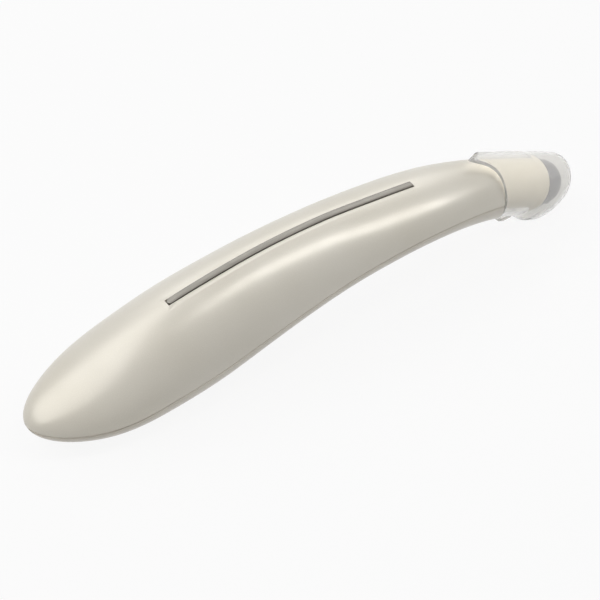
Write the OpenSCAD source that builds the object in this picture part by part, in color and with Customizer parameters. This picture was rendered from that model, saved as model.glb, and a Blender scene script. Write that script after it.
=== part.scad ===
// Eye massager: an arched wand with a short vibrating head under a clear pull-off cap.
// Lengths are in mm. X runs from the butt to the tip and Z is up. The wand lies on its belly
// and on its cap. The body is a loft of half ellipses along a curved middle line: u = 0 is the
// butt and u = 1 is the end of the neck.

/* [Middle line] */
// Length of the body along its middle line
body_length = 138.8; // [134:0.1:146]
// Rise of the middle line at the butt, in degrees
butt_slope = -3.25; // [-5:0.05:-1]
// How fast the middle line bends up, in degrees per body length
rise_bend = 73; // [68:0.5:76]
// How fast it bends down again, in degrees per squared body length
droop_bend = 90; // [87:0.5:93]
// Backward lean of the end face of the neck, in degrees
neck_lean = 14.6; // [10:0.1:18]

/* [Body section] */
// Half width of the egg-shaped butt, a quarter of the way along
butt_half_width = 16.1; // [15:0.1:18]
// Half width in the middle of the grip
grip_half_width = 13.9; // [13:0.1:16]
// Half width of the neck's end
neck_half_width = 8.3; // [8.1:0.1:9]
// Height of the crest above the middle line at the butt
butt_crest = 15.7; // [14.5:0.1:17]
// Height of the crest in the middle of the grip
grip_crest = 14.5; // [13.5:0.1:16]
// Height of the crest at the neck's end
neck_crest = 7.9; // [7.5:0.1:8.2]
// Depth of the belly below the middle line at the butt
butt_belly = 10; // [9.5:0.1:11]
// Depth of the belly in the middle of the grip
grip_belly = 7.9; // [7.6:0.1:9]
// Depth of the belly at the neck's end
neck_belly = 8; // [7.8:0.1:8.6]
// Share of the body's length that the rounded butt takes
nose_share = 0.37; // [0.34:0.01:0.4]

/* [Shells] */
// Wall of both shells
wall = 1.8; // [1.6:0.1:2]
// Wall at the end of the neck
neck_wall = 3; // [2.5:0.1:3.5]
// Gap between the two shells at the seam
seam_gap = 0.04; // [0.02:0.01:0.1]
// Bevel of each shell's outer edge at the seam
seam_bevel = 0.25; // [0.15:0.05:0.35]
// Height of the lip that locates the shells
lip_height = 1.2; // [0.8:0.1:1.4]
// Clearance all round the lip
lip_gap = 0.05; // [0.03:0.01:0.1]
// Outer radius of the screw bosses
boss_radius = 2.9; // [2.8:0.1:3.2]

/* [Inlay strip] */
// Where the strip starts, as a share of the body's length
strip_start = 0.319; // [0.3:0.001:0.34]
// Where the strip ends
strip_end = 0.82; // [0.78:0.001:0.84]
// Width of the strip
strip_width = 1.8; // [1.4:0.1:2.4]
// How far the strip stands out of the shell
strip_proud = 0.35; // [0.2:0.05:0.5]
// Depth of the groove that it lies in
groove_depth = 0.9; // [0.7:0.05:1]
// Gap between the strip and each side of its groove
strip_gap = 0.15; // [0.05:0.01:0.2]

/* [Head] */
// Bend of the head below the line of the neck, in degrees
head_bend = 4.5; // [3:0.1:6]
// Height of the head's axis above the middle line of the neck's end
head_rise = 1.34; // [1.1:0.01:1.5]
// Radius of the head sleeve
sleeve_radius = 6.6; // [6.5:0.05:6.7]
// Inner radius of the head sleeve
sleeve_bore = 5.3; // [5.2:0.05:5.4]
// Where the sleeve ends
sleeve_end = 16.1; // [15:0.1:17]
// Radius of the spigot that sits in the neck
spigot_radius = 4.4; // [4.2:0.05:4.6]
// Radius of the metal tip
tip_radius = 6.2; // [6:0.05:6.3]
// Straight skirt between the sleeve and the round of the tip
tip_skirt = 2.2; // [1.8:0.1:2.6]

/* [Cap] */
// Outer radius of the cap's tube
cap_radius = 8.6; // [8.5:0.05:8.8]
// Radius of the cap's round end
cap_dome_radius = 8.88; // [8.7:0.01:9.2]
// Wall of the cap
cap_wall = 1; // [0.9:0.05:1.1]
// Gap between the rim of the cap and the neck
cap_rim_gap = 0.3; // [0.2:0.05:0.5]
// Length of the tongue that reaches back over the neck
tongue_length = 7.5; // [6:0.1:8]
// Half width of the tongue at half its length
tongue_half = 2; // [1.5:0.1:2.6]
// Gap between the cap's inner ribs and the sleeve
cap_rib_gap = 0.1; // [0.05:0.01:0.2]
// Thickness of the strap lug
lug_thickness = 2; // [1.6:0.1:2.6]
// Radius of the hole in the lug
lug_hole = 0.7; // [0.5:0.05:0.8]

/* [Battery] */
// Diameter of the cell
cell_diameter = 10.5; // [10.5:0.1:10.5]
// Length of the cell with its positive cap
cell_length = 44.5; // [44.5:0.1:44.5]
// Middle of the cell, as a share of the body's length
cell_share = 0.4395; // [0.436:0.0005:0.443]
// Tilt of the cell's axis against the body's middle line, in degrees
cell_tilt = 2.2; // [1.5:0.1:2.8]
// Height of the cell's axis over the body's middle line
cell_rise = -0.7; // [-0.9:0.1:-0.5]
// Middle of the battery door, as a share of the body's length
door_share = 0.4366; // [0.435:0.0002:0.438]
// Length of the battery door
door_length = 48; // [47:0.1:49]
// Width of the battery door
door_width = 13; // [12.6:0.1:13.4]
// Thickness of the battery door
door_thickness = 1; // [0.9:0.05:1.1]
// Gap round the battery door
door_gap = 0.15; // [0.1:0.01:0.2]
// Width of the ledge that the door rests on
door_ledge = 0.9; // [0.7:0.1:1]

/* [Button] */
// Middle of the button, as a share of the body's length
button_share = 0.7817; // [0.778:0.0005:0.786]
// Length of the button
button_length = 10; // [9:0.1:11]
// Width of the button
button_width = 7; // [6.4:0.1:7.4]
// Travel of the button
button_travel = 0.8; // [0.5:0.1:1]
// Gap round the button
button_gap = 0.15; // [0.1:0.01:0.2]
// How far the button stands out of the belly
button_proud = 0.6; // [0.4:0.1:0.9]

/* [Board and motor] */
// Length of the circuit board
board_length = 22; // [20:0.5:23]
// Width of the circuit board
board_width = 12; // [11:0.5:13]
// Thickness of the circuit board
board_thickness = 1; // [0.8:0.1:1.2]
// Height of the switch body
switch_height = 3.5; // [3.4:0.1:3.6]
// Radius of the switch plunger
plunger_radius = 1.7; // [1.5:0.1:1.9]
// Width of the switch body
switch_width = 6; // [5.6:0.1:6.4]
// Radius of the motor can
motor_radius = 3; // [2.9:0.1:3]
// Length of the motor can
motor_length = 9.6; // [9:0.1:10]
// Place of the motor can's rear along the head
motor_place = 4.3; // [4.2:0.1:4.6]
// Radius of the motor shaft
shaft_radius = 0.5; // [0.4:0.05:0.6]
// Running clearance of the shaft
shaft_gap = 0.03; // [0.02:0.01:0.05]

/* [Screws] */
// Rear screw, as a share of the body's length
rear_screw_share = 0.1585; // [0.155:0.0005:0.162]
// Front screw, as a share of the body's length
front_screw_share = 0.6628; // [0.661:0.0002:0.664]
// Radius of the screw shank
screw_radius = 1; // [0.9:0.05:1.1]
// Length of the screw below its head
screw_length = 9; // [8:0.5:10]
// Depth of the screw seats below the middle line
screw_seat = 4.2; // [4:0.1:4.5]

/* [Hidden] */
$fn = 64;
nose_rings = 10;
body_rings = 26;
outer_arc = 20;
inner_arc = 12;
spine_steps = 96;

// Half width, crest height and belly depth at nine even places along the body
half_widths = [butt_half_width + 2.4, butt_half_width + 2.3, butt_half_width,
    grip_half_width + 1.1, grip_half_width, grip_half_width - 1.1,
    neck_half_width + 3.7, neck_half_width + 2.4, neck_half_width];
crests = [butt_crest - 3.6, butt_crest - 3, butt_crest, grip_crest + 1, grip_crest,
    grip_crest - 2.2, neck_crest + 1.7, neck_crest + 0.5, neck_crest];
bellies = [butt_belly + 0.1, butt_belly, butt_belly, grip_belly + 1.4, grip_belly,
    grip_belly - 0.5, neck_belly - 0.5, neck_belly - 0.4, neck_belly];

// Smooth curve through the nine values
function along(list, u) =
    let (n = len(list) - 1, x = min(max(u, 0), 0.99999) * n, i = floor(x), t = x - i,
        b = list[i], c = list[i + 1],
        a = i > 0 ? list[i - 1] : 2 * b - c,
        d = i + 2 <= n ? list[i + 2] : 2 * c - b)
    b + t / 2 * (c - a + t * (2 * a - 5 * b + 4 * c - d + t * (3 * (b - c) + d - a)));

// Middle line: its slope, its points, and the point at u
function slope(u) = butt_slope + rise_bend * u - droop_bend * u * u;
spine_step = body_length / spine_steps;
spine = [for (i = 0, x = 0, z = 0; i <= spine_steps;
    x = x + spine_step * cos(slope((i + 0.5) / spine_steps)),
    z = z + spine_step * sin(slope((i + 0.5) / spine_steps)), i = i + 1) [x, z]];
function spine_at(u) =
    let (t = min(max(u, 0), 0.999999) * spine_steps, i = floor(t), f = t - i)
    spine[i] * (1 - f) + spine[i + 1] * f;

// Closing of the butt for a surface that lies w inside the outer one
function closing(u, w) =
    let (s = w / body_length)
    u >= nose_share ? 1 : sqrt(max(0, 1 - pow(1 - (u - s) / (nose_share - s), 2)));
function half_width(u, w) = (along(half_widths, u) - w) * closing(u, w);
function crest(u, w) = (along(crests, u) - w) * closing(u, w);
function belly(u, w) = (along(bellies, u) - w) * closing(u, w);
function lean(u) = let (t = min(1, max(0, (u - 0.86) / 0.11))) neck_lean * t * t * (3 - 2 * t);

// Height of the roof and of the floor over the middle line, y beside it
function circle_share(y, r) = sqrt(max(0, 1 - y * y / max(r * r, 0.0001)));
function roof(u, y, w) = crest(u, w) * circle_share(y, half_width(u, w));
function ground(u, y, w) = -belly(u, w) * circle_share(y, half_width(u, w));

// A point of a body section, before the wand is set down
function raw(u, y, h) =
    let (c = spine_at(u), g = slope(u), k = -h * tan(lean(u)))
    [c[0] + k * cos(g) - h * sin(g), y, c[1] + k * sin(g) + h * cos(g)];

// The head's axis passes over the end of the middle line, where its own measure starts
neck_slope = slope(1);
head_slope = neck_slope - head_bend;
neck_face = neck_slope + neck_lean;
face_bend = neck_face - head_slope;
tip_centre = sleeve_end + tip_skirt;
head_root = [spine_at(1)[0] - head_rise * sin(head_slope), 0,
    spine_at(1)[1] + head_rise * cos(head_slope)];
dome_x = head_root[0] + tip_centre * cos(head_slope);
dome_z = head_root[2] + tip_centre * sin(head_slope);

// Stations along the body, closer together round the butt
function station(i) = i <= nose_rings ? nose_share * (1 - cos(90 * i / nose_rings))
    : nose_share + (1 - nose_share) * (i - nose_rings) / body_rings;
ring_count = nose_rings + body_rings;

// The wand is set down on its belly and cap, with its middle over the origin
belly_low = min([for (i = [0:ring_count])
    raw(station(i), 0, -belly(station(i), 0) - seam_gap / 2)[2]]);
lift = -min(belly_low, dome_z - cap_dome_radius);
shift = -(dome_x + cap_dome_radius) / 2;
function placed(p) = p + [shift, 0, lift];
function at(u, y, h) = placed(raw(u, y, h));

// Local frames: on the middle line, along the head and on the face of the neck
module on_line(u) {
    translate(at(u, 0, 0)) rotate([0, -slope(u), 0]) children();
}
module in_head() {
    translate(placed(head_root)) rotate([0, 90 - head_slope, 0]) children();
}
module in_neck() {
    translate(at(1, 0, 0)) rotate([0, 90 - neck_face, 0]) children();
}

// Place along the body in mm to its share, and a point seen from the frame at u
function share(s) = s / body_length;
function seen(u, p) =
    let (c = at(u, 0, 0), g = slope(u), x = p[0] - c[0], z = p[2] - c[2])
    [x * cos(g) + z * sin(g), -x * sin(g) + z * cos(g)];
function roof_over(u, x, y, w) = seen(u, at(u + share(x), y, roof(u + share(x), y, w)))[1];
function ground_under(u, x, y, w) =
    seen(u, at(u + share(x), y, ground(u + share(x), y, w)))[1];

// Shell wall. Each profile point has an inset, a place on the section and a side. The profile
// is a closed loop that is swept from the butt to the neck, where a solid wall closes it.
// side is 1 for the upper shell and -1 for the lower shell.
function place_u(i, w) = w < 0.5 ? share(w) + station(i) * (1 - share(w))
    : share(w) + station(i) * (1 - share(neck_wall + w));
function depth(side, u, w) = side > 0 ? crest(u, w) : belly(u, w);
function arc_point(side, i, w, a) =
    let (u = place_u(i, w))
    at(u, half_width(u, w) * cos(a), side * (seam_gap / 2 + depth(side, u, w) * sin(a)));
function step_point(side, i, w, h, part, y_side) =
    let (u = place_u(i, w), top = crest(u, w), h1 = min(h, part * depth(side, u, w)),
        h2 = side > 0 ? h1 : h1 > 0 ? min(h, part * top) : 0)
    at(u, y_side * half_width(u, w) * circle_share(h2, max(top, 0.01)),
        side > 0 ? seam_gap / 2 + h2 : h2 - seam_gap / 2);
function edge_point(side, i, y_side) =
    let (u = place_u(i, 0), d = depth(side, u, 0), h = min(1.2 * seam_bevel, 0.3 * d))
    at(u, y_side * half_width(u, 0) * circle_share(h, max(d, 0.01)),
        side * (seam_gap / 2 + h));

// Insets of the profile points, in the order of the loop
function ring_insets(side) = concat([seam_bevel], [for (k = [0:outer_arc]) 0], [seam_bevel],
    [wall / 2 + (side > 0 ? 0 : lip_gap)], [wall / 2 + (side > 0 ? 0 : lip_gap)], [wall],
    [for (k = [0:inner_arc]) wall], [wall],
    [wall / 2 + (side > 0 ? 0 : lip_gap)], [wall / 2 + (side > 0 ? 0 : lip_gap)]);
function ring(side, i) =
    let (w1 = wall / 2 + (side > 0 ? 0 : lip_gap),
        h1 = side > 0 ? lip_height + 2 * lip_gap : lip_height, part = side > 0 ? 0.5 : 0.4)
    concat([step_point(side, i, seam_bevel, 0, 0, 1)],
        [edge_point(side, i, 1)],
        [for (k = [1:outer_arc - 1]) arc_point(side, i, 0, 180 * k / outer_arc)],
        [edge_point(side, i, -1)],
        [step_point(side, i, seam_bevel, 0, 0, -1)],
        [step_point(side, i, w1, 0, 0, -1)],
        [step_point(side, i, w1, h1, part, -1)],
        [step_point(side, i, wall, h1, part, -1)],
        [for (k = [0:inner_arc]) inner_point(side, i, k, h1, part)],
        [step_point(side, i, wall, h1, part, 1)],
        [step_point(side, i, w1, h1, part, 1)],
        [step_point(side, i, w1, 0, 0, 1)]);
// The inner arc starts at the rebate's ceiling in the upper shell, at the seam in the lower
function inner_point(side, i, k, h1, part) =
    let (u = place_u(i, wall), d = depth(side, u, wall),
        low = side > 0 ? asin(min(part, min(h1, part * d) / max(d, 0.01))) : 0,
        a = side > 0 ? low + 4 : 0,
        b = 180 - a - (180 - 2 * a) * k / inner_arc)
    side > 0 ? arc_point(1, i, wall, b) : arc_point(-1, i, wall, 180 - 180 * k / inner_arc);

// Triangles of a convex face
function fan(list) = [for (k = [1:len(list) - 2]) [list[0], list[k], list[k + 1]]];

module shell_wall(side) {
    insets = ring_insets(side);
    n = len(insets);
    cl = outer_arc + 2;
    q = cl + 1;
    e = n - 1;
    points = [for (i = [0:ring_count]) each ring(side, i)];
    // The first ring is drawn together into one point for each inset
    lead = [for (j = [0:e]) [for (k = [0:e]) if (insets[k] == insets[j]) k][0]];
    function id(i, j) = i == 0 ? lead[j % n] : i * n + j % n;
    walls = [for (i = [0:ring_count - 1]) for (j = [0:e])
        each [[id(i, j), id(i, j + 1), id(i + 1, j + 1)],
            [id(i, j), id(i + 1, j + 1), id(i + 1, j)]]];
    caps = side > 0 ?
        concat(fan([e, q, q + 1, q + 2, e - 2, e - 1]), fan([for (j = [q + 2:e - 2]) j]),
            fan([0, cl, q, e]))
        : concat(fan([q, q + 1, q + 2, q + 3]), fan([e - 3, e - 2, e - 1, e]),
            fan([for (j = [q + 3:e - 3]) j]), fan([0, cl, q, q + 3, e - 3, e]));
    ends = [for (t = concat(fan([for (j = [0:cl]) j]), caps)) t + ring_count * n * [1, 1, 1]];
    faces = [for (t = concat(walls, ends))
        if (t[0] != t[1] && t[1] != t[2] && t[0] != t[2])
            side > 0 ? [t[0], t[2], t[1]] : t];
    polyhedron(points, faces, convexity = 8);
}

// Derived sizes of the inner pieces
cell_radius = cell_diameter / 2;
cell_place = cell_share * body_length;
door_place = door_share * body_length;
bay_slope = slope(cell_share) + cell_tilt;
end_gap = 0.05;
plate = 0.35;
rib_half = 0.6;
spring_room = 5.65;
tongue_gap = 0.4;
bay_rear = -cell_length / 2 - spring_room;
bay_front = cell_length / 2 + end_gap;
flange_half = button_width / 2 + 1;
flange_low = ground_under(button_share, 0, flange_half, wall) + 0.08;
flange_top = flange_low + 0.8;
switch_low = flange_top + button_travel + 0.4;
board_low = switch_low + switch_height;
board_top = board_low + board_thickness;
button_low = ground(button_share, 0, 0) - button_proud;
post_x = board_length / 2 - 1.6;
post_y = board_width / 2 - 1.6;
spigot_rise = head_rise / cos(face_bend);
cap_inner = cap_radius - cap_wall;
stem_radius = sleeve_bore - 0.35;
ring_flange = 0.35;
rotor_front = tip_centre - 1;

module in_bay() {
    translate(at(cell_share, 0, cell_rise)) rotate([0, -bay_slope, 0]) children();
}
// Height of the middle of the lower wall in the bay's frame
function bay_floor(x, y) =
    let (u = share(cell_place + x), p = at(u, y, ground(u, y, wall / 2)) - at(cell_share, 0, cell_rise))
    -p[0] * sin(bay_slope) + p[2] * cos(bay_slope);
// The door's frame stands on the middle line over the middle of the door. door_view gives the
// place and height in it of a point x along the body, y beside its middle and w inside the belly.
function door_view(x, y, w) =
    let (u = share(door_place + x)) seen(door_share, at(u, y, ground(u, y, w) - seam_gap / 2));
door_rear = door_view(-door_length / 2, 0, 0)[0] + door_ledge;
door_front = door_view(door_length / 2, 0, 0)[0] - door_ledge;
// The board's frame stands on the middle line over the button
function board_point(x, y, h) = let (g = slope(button_share))
    at(button_share, 0, 0) + [x * cos(g) - h * sin(g), y, x * sin(g) + h * cos(g)];
// A cylinder along the X axis of a local frame
module rod(x0, x1, r) {
    translate([x0, 0, 0]) rotate([0, 90, 0]) cylinder(r = r, h = x1 - x0);
}
// A bar with round ends along X, standing on z0
module stadium(length, width, z0, z1) {
    translate([0, 0, z0]) linear_extrude(z1 - z0) union() {
        square([length - width, width], center = true);
        for (x = [-1, 1]) translate([x * (length - width) / 2, 0]) circle(d = width);
    }
}
// A rib across the bay that grows out of the middle of the lower wall, flat on top
module rib(x, half, top, thick) {
    in_bay() translate([x, 0, 0]) rotate([90, 0, 90]) linear_extrude(thick, center = true)
        polygon(concat([[half, top], [-half, top]],
            [for (k = [-6:6]) [k * half / 6, bay_floor(x, k * half / 6)]]));
}

// A tube of eight sides along a smooth path through the given points
function bend(p, t) = let (n = len(p) - 1, x = min(t * n, n - 0.0001), i = floor(x), f = x - i,
    b = p[i], c = p[i + 1], a = i > 0 ? p[i - 1] : 2 * b - c,
    d = i + 2 <= n ? p[i + 2] : 2 * c - b)
    b + f / 2 * (c - a + f * (2 * a - 5 * b + 4 * c - d + f * (3 * (b - c) + d - a)));
function unit(v) = v / norm(v);
function tube_ring(p, t, radius, sides) =
    let (c = bend(p, t), dir = unit(bend(p, min(1, t + 0.01)) - bend(p, max(0, t - 0.01))),
        side = unit(cross(dir, [0.03, 0.05, 1])), up = cross(side, dir))
    [for (k = [0:sides - 1]) c + radius * (cos(360 * k / sides) * side
        - sin(360 * k / sides) * up)];
// Triangles that close a stack of rings
function stack_faces(rings, sides) = concat(
    [for (i = [0:rings - 2]) for (k = [0:sides - 1]) let (m = (k + 1) % sides)
        each [[i * sides + k, (i + 1) * sides + k, (i + 1) * sides + m],
            [i * sides + k, (i + 1) * sides + m, i * sides + m]]],
    fan([for (k = [0:sides - 1]) k]),
    fan([for (k = [0:sides - 1]) rings * sides - 1 - k]));
module tube(p, radius, rings, sides = 8) {
    polyhedron([for (i = [0:rings - 1]) each tube_ring(p, i / (rings - 1), radius, sides)],
        stack_faces(rings, sides));
}

// A curved plate that follows the belly, with round corners. It lies between two insets.
function slab_rows(length, corner) = let (steps = 14)
    concat([for (k = [0:3]) corner * (1 - cos(22.5 * k))],
        [for (k = [0:steps]) corner + (length - 2 * corner) * k / steps],
        [for (k = [3:-1:0]) length - corner * (1 - cos(22.5 * k))]);
module belly_slab(length, width, corner, low, high) {
    rows = slab_rows(length, corner);
    n = len(rows);
    m = 8;
    points = [for (w = [low, high]) for (d = rows)
        let (e = corner - min(corner, min(d, length - d)),
            half = width / 2 - corner + sqrt(max(0, corner * corner - e * e)),
            u = share(door_place - length / 2 + d))
        for (k = [0:m]) let (y = half * (2 * k / m - 1))
            at(u, y, ground(u, y, w) - seam_gap / 2)];
    function id(i, k, s) = (s * n + i) * (m + 1) + k;
    grid = [for (s = [0, 1]) for (i = [0:n - 2]) for (k = [0:m - 1])
        let (a = id(i, k, s), b = id(i + 1, k, s), c = id(i + 1, k + 1, s), d = id(i, k + 1, s))
        each s > 0 ? [[a, c, d], [a, b, c]] : [[a, d, c], [a, c, b]]];
    sides = [for (k = [0, m]) for (i = [0:n - 2])
        let (a = id(i, k, 0), b = id(i + 1, k, 0), c = id(i + 1, k, 1), d = id(i, k, 1))
        each k > 0 ? [[a, c, b], [a, d, c]] : [[a, b, c], [a, c, d]]];
    ends = [for (i = [0, n - 1]) for (k = [0:m - 1])
        let (a = id(i, k, 0), b = id(i, k + 1, 0), c = id(i, k + 1, 1), d = id(i, k, 1))
        each i > 0 ? [[a, b, c], [a, c, d]] : [[a, c, b], [a, d, c]]];
    polyhedron(points, concat(grid, sides, ends), convexity = 4);
}

// A bar along the crest. Its profile is given as [side, height over the crest].
module crest_bar(from, to, half, bottom, top, edge, ends) {
    steps = 26;
    stops = concat([for (d = ends) from + share(d)],
        [for (k = [1:steps]) from + share(ends[len(ends) - 1])
            + (to - from - share(ends[len(ends) - 1] + edge)) * k / steps], [to]);
    n = len(stops);
    points = [for (i = [0:n - 1])
        let (u = stops[i], d = (u - from) * body_length, r = half,
            h = r - sqrt(max(0, r * r - pow(max(0, r - d), 2))),
            y = max(0.12, half - (len(ends) > 1 ? h : 0)),
            t = i == n - 1 ? top - edge : top, c = crest(u, 0) + seam_gap / 2,
            e = min(edge, y / 2))
        each [at(u, y, c + bottom), at(u, y, c + t - e), at(u, y - e, c + t),
            at(u, e - y, c + t), at(u, -y, c + t - e), at(u, -y, c + bottom)]];
    polyhedron(points, stack_faces(n, 6), convexity = 4);
}

// Shells
module upper_shell() color([0.85, 0.82, 0.74]) {
    difference() {
        union() {
            shell_wall(1);
            for (u = [rear_screw_share, front_screw_share]) on_line(u)
                translate([0, 0, seam_gap])
                    cylinder(r = boss_radius - 0.5, h = crest(u, wall / 2) - seam_gap - 0.3);
            for (x = [-1, 1]) for (y = [-1, 1]) on_line(button_share)
                translate([x * post_x, y * post_y, board_top + end_gap])
                    cylinder(r = 1.1, h = roof_over(button_share, x * post_x, post_y + 1,
                        wall / 2) - board_top - end_gap);
            for (x = [-10, 12]) in_bay() translate([x - 0.6, -4, cell_radius + 0.2])
                cube([1.2, 8, seen(cell_share, at(share(cell_place + x), 4,
                    roof(share(cell_place + x), 4, wall / 2)))[1] - cell_rise
                    - cell_radius - 0.2 - x * tan(cell_tilt)]);
        }
        crest_bar(strip_start - share(strip_gap), strip_end + share(strip_gap),
            strip_width / 2 + strip_gap, -groove_depth, 2, 0.1, [0]);
        strip_pegs(strip_gap / 2, 1);
        for (u = [rear_screw_share, front_screw_share]) on_line(u)
            translate([0, 0, -1]) cylinder(r = screw_radius + 0.02,
                h = screw_length - screw_seat + 1.5);
        in_neck() translate([-spigot_rise, 0, -neck_wall - 3])
            cylinder(r = spigot_radius + 0.05, h = neck_wall + 6);
    }
}

module lower_shell() color([0.67, 0.63, 0.57]) {
    difference() {
        union() {
            shell_wall(-1);
            for (u = [rear_screw_share, front_screw_share]) on_line(u)
                translate([0, 0, ground(u, 0, 0.7)])
                    cylinder(r = boss_radius, h = -ground(u, 0, 0.7) - seam_gap / 2);
            difference() {
                union() {
                    for (x = [-16, 0, 16]) rib(x, 10, 0, 1.2);
                }
                in_bay() rod(bay_rear, bay_front, cell_radius + 0.15);
            }
            for (x = [bay_rear - plate - 0.1 - rib_half, bay_front + plate + 0.1 + rib_half])
                rib(x, 6.2, 3, 2 * rib_half);
            for (x = [-1, 1]) for (y = [-1, 1]) on_line(button_share)
                translate([x * post_x, y * post_y, ground_under(button_share, x * post_x,
                    post_y + 1, wall / 2)])
                    cylinder(r = 1.1, h = board_low - end_gap - ground_under(button_share,
                        x * post_x, post_y + 1, wall / 2));
        }
        belly_slab(door_length + 2 * door_gap, door_width + 2 * door_gap, 2 + door_gap,
            door_thickness + 0.05, -2);
        on_line(door_share) translate([door_rear, door_ledge - door_width / 2, -20])
            cube([door_front - door_rear, door_width - 2 * door_ledge, 19.4]);
        for (u = [rear_screw_share, front_screw_share]) on_line(u) {
            translate([0, 0, -20]) cylinder(r = 2, h = 20 - screw_seat);
            translate([0, 0, -20]) cylinder(r = screw_radius + 0.1, h = 22);
        }
        on_line(button_share) stadium(button_length + 2 * button_gap,
            button_width + 2 * button_gap, -12, -3);
        in_neck() translate([-spigot_rise, 0, -neck_wall - 3])
            cylinder(r = spigot_radius + 0.05, h = neck_wall + 6);
    }
}

// Inlay strip with its pegs
module strip_pegs(gap, extra) {
    for (u = [strip_start + 0.04, (strip_start + strip_end) / 2, strip_end - 0.04])
        on_line(u) translate([0, 0, crest(u, wall) - extra])
            cylinder(r = 0.6 + gap, h = wall - groove_depth + 0.2 + extra);
}
module accent_strip() color([0.56, 0.54, 0.51]) {
    union() {
        crest_bar(strip_start, strip_end, strip_width / 2, 0.05 - groove_depth, strip_proud,
            0.25, [0, 0.08, 0.25, 0.5, strip_width / 2]);
        strip_pegs(0, 0);
    }
}

// Head: sleeve, tip and ring
module head_sleeve() color([0.84, 0.81, 0.74]) {
    difference() {
        union() {
            difference() {
                in_head() translate([0, 0, -4]) cylinder(r = sleeve_radius, h = sleeve_end + 4);
                in_neck() translate([-15, -15, -20 + end_gap]) cube([30, 30, 20]);
            }
            in_neck() translate([-spigot_rise, 0, -neck_wall - 1.4])
                cylinder(r = spigot_radius, h = neck_wall + 3.4);
            difference() {
                in_neck() translate([-spigot_rise, 0, -neck_wall - 1.4])
                    cylinder(r = spigot_radius + 1, h = 1.2);
                in_neck() translate([-neck_crest + wall + 0.35 - 10, -10, -neck_wall - 2])
                    cube([10, 20, 3]);
            }
        }
        in_head() translate([0, 0, motor_place - 0.9]) cylinder(r = sleeve_bore, h = 20);
        in_head() translate([0, 0, -neck_wall - 6]) cylinder(r = 2.3, h = neck_wall + 8 + motor_place);
    }
}
module massage_tip() color([0.75, 0.75, 0.76]) {
    in_head() difference() {
        union() {
            translate([0, 0, sleeve_end + ring_flange])
                cylinder(r = tip_radius, h = tip_skirt - ring_flange);
            translate([0, 0, tip_centre]) difference() {
                sphere(r = tip_radius);
                translate([0, 0, -10]) cube([20, 20, 20], center = true);
            }
            translate([0, 0, sleeve_end - 2])
                cylinder(r = stem_radius, h = 2 + ring_flange + 0.5);
        }
        translate([0, 0, motor_place]) cylinder(r = stem_radius - 0.75, h = tip_centre - motor_place);
        translate([0, 0, tip_centre]) sphere(r = stem_radius - 0.75);
    }
}
module tip_ring() color([0.2, 0.2, 0.21]) {
    in_head() difference() {
        union() {
            translate([0, 0, sleeve_end]) cylinder(r = tip_radius - 0.15, h = ring_flange);
            translate([0, 0, sleeve_end - 2]) cylinder(r = sleeve_bore - 0.03, h = 2);
        }
        translate([0, 0, sleeve_end - 3]) cylinder(r = stem_radius + 0.03, h = 5);
    }
}

// Clear cap: a tube with a round end, a slanted rim, a tongue, a lug and three inner ribs
function tongue(y) = let (e = 1 / (1 + pow(cap_radius / tongue_half, 1.9)))
    tongue_length * max(0, 1 / (1 + pow(abs(y) / tongue_half, 1.9)) - e) / (1 - e);
module cap() color([0.86, 0.89, 0.92, 0.4]) {
    difference() {
        union() {
            difference() {
                in_head() union() {
                    translate([0, 0, -14]) cylinder(r = cap_radius, h = 19);
                    translate([0, 0, 5]) cylinder(r1 = cap_radius, r2 = cap_dome_radius - 0.03,
                        h = tip_centre - 5.7);
                    translate([0, 0, tip_centre]) sphere(r = cap_dome_radius);
                }
                in_head() translate([0, 0, -16]) cylinder(r = cap_inner, h = tip_centre + 16);
                in_head() translate([0, 0, tip_centre]) sphere(r = cap_inner);
            }
            in_head() for (a = [60, 180, 300]) rotate([0, 0, a]) translate([0, -0.5, 2.5])
                difference() {
                    translate([sleeve_radius + cap_rib_gap, 0, 0])
                        cube([cap_inner - sleeve_radius + 0.2, 1, 6]);
                    translate([0, 0.5, -1]) cylinder(r = sleeve_radius + cap_rib_gap, h = 8);
                }
            in_head() rotate([90, 0, 0]) linear_extrude(lug_thickness, center = true)
                polygon([[cap_inner + 0.4, 7.9], [10.5, 7.9], [11.2, 8.3], [11.5, 9],
                    [11.5, 10.6], [11.1, 11.5], [9.7, 13.6], [8.9, 14.7], [cap_inner + 0.4, 14.7]]);
            in_head() translate([9.9, 0, 10.2]) rotate([90, 0, 0])
                cylinder(r = lug_hole + 0.7, h = lug_thickness + 0.5, center = true);
        }
        in_neck() translate([-head_rise, -15, -30]) cube([20, 30, 30 + cap_rim_gap]);
        in_neck() translate([-30, 0, 0]) rotate([90, 0, 90]) linear_extrude(30.01 - head_rise)
            polygon(concat([[15, -40], [-15, -40]], [for (k = [-16:16])
                let (y = sign(k) * pow(abs(k) / 16, 1.5) * 12) [y, cap_rim_gap - tongue(y)]]));
        in_head() rotate([90, 0, 0]) linear_extrude(20, center = true)
            polygon([[-cap_radius - 0.2, -8.9], [-cap_inner - 0.1, -10.6], [-cap_inner + 1, -13],
                [-12, -13], [-12, -8.9]]);
        in_head() translate([9.9, 0, 10.2]) rotate([90, 0, 0])
            cylinder(r = lug_hole, h = lug_thickness + 2, center = true);
    }
}

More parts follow.
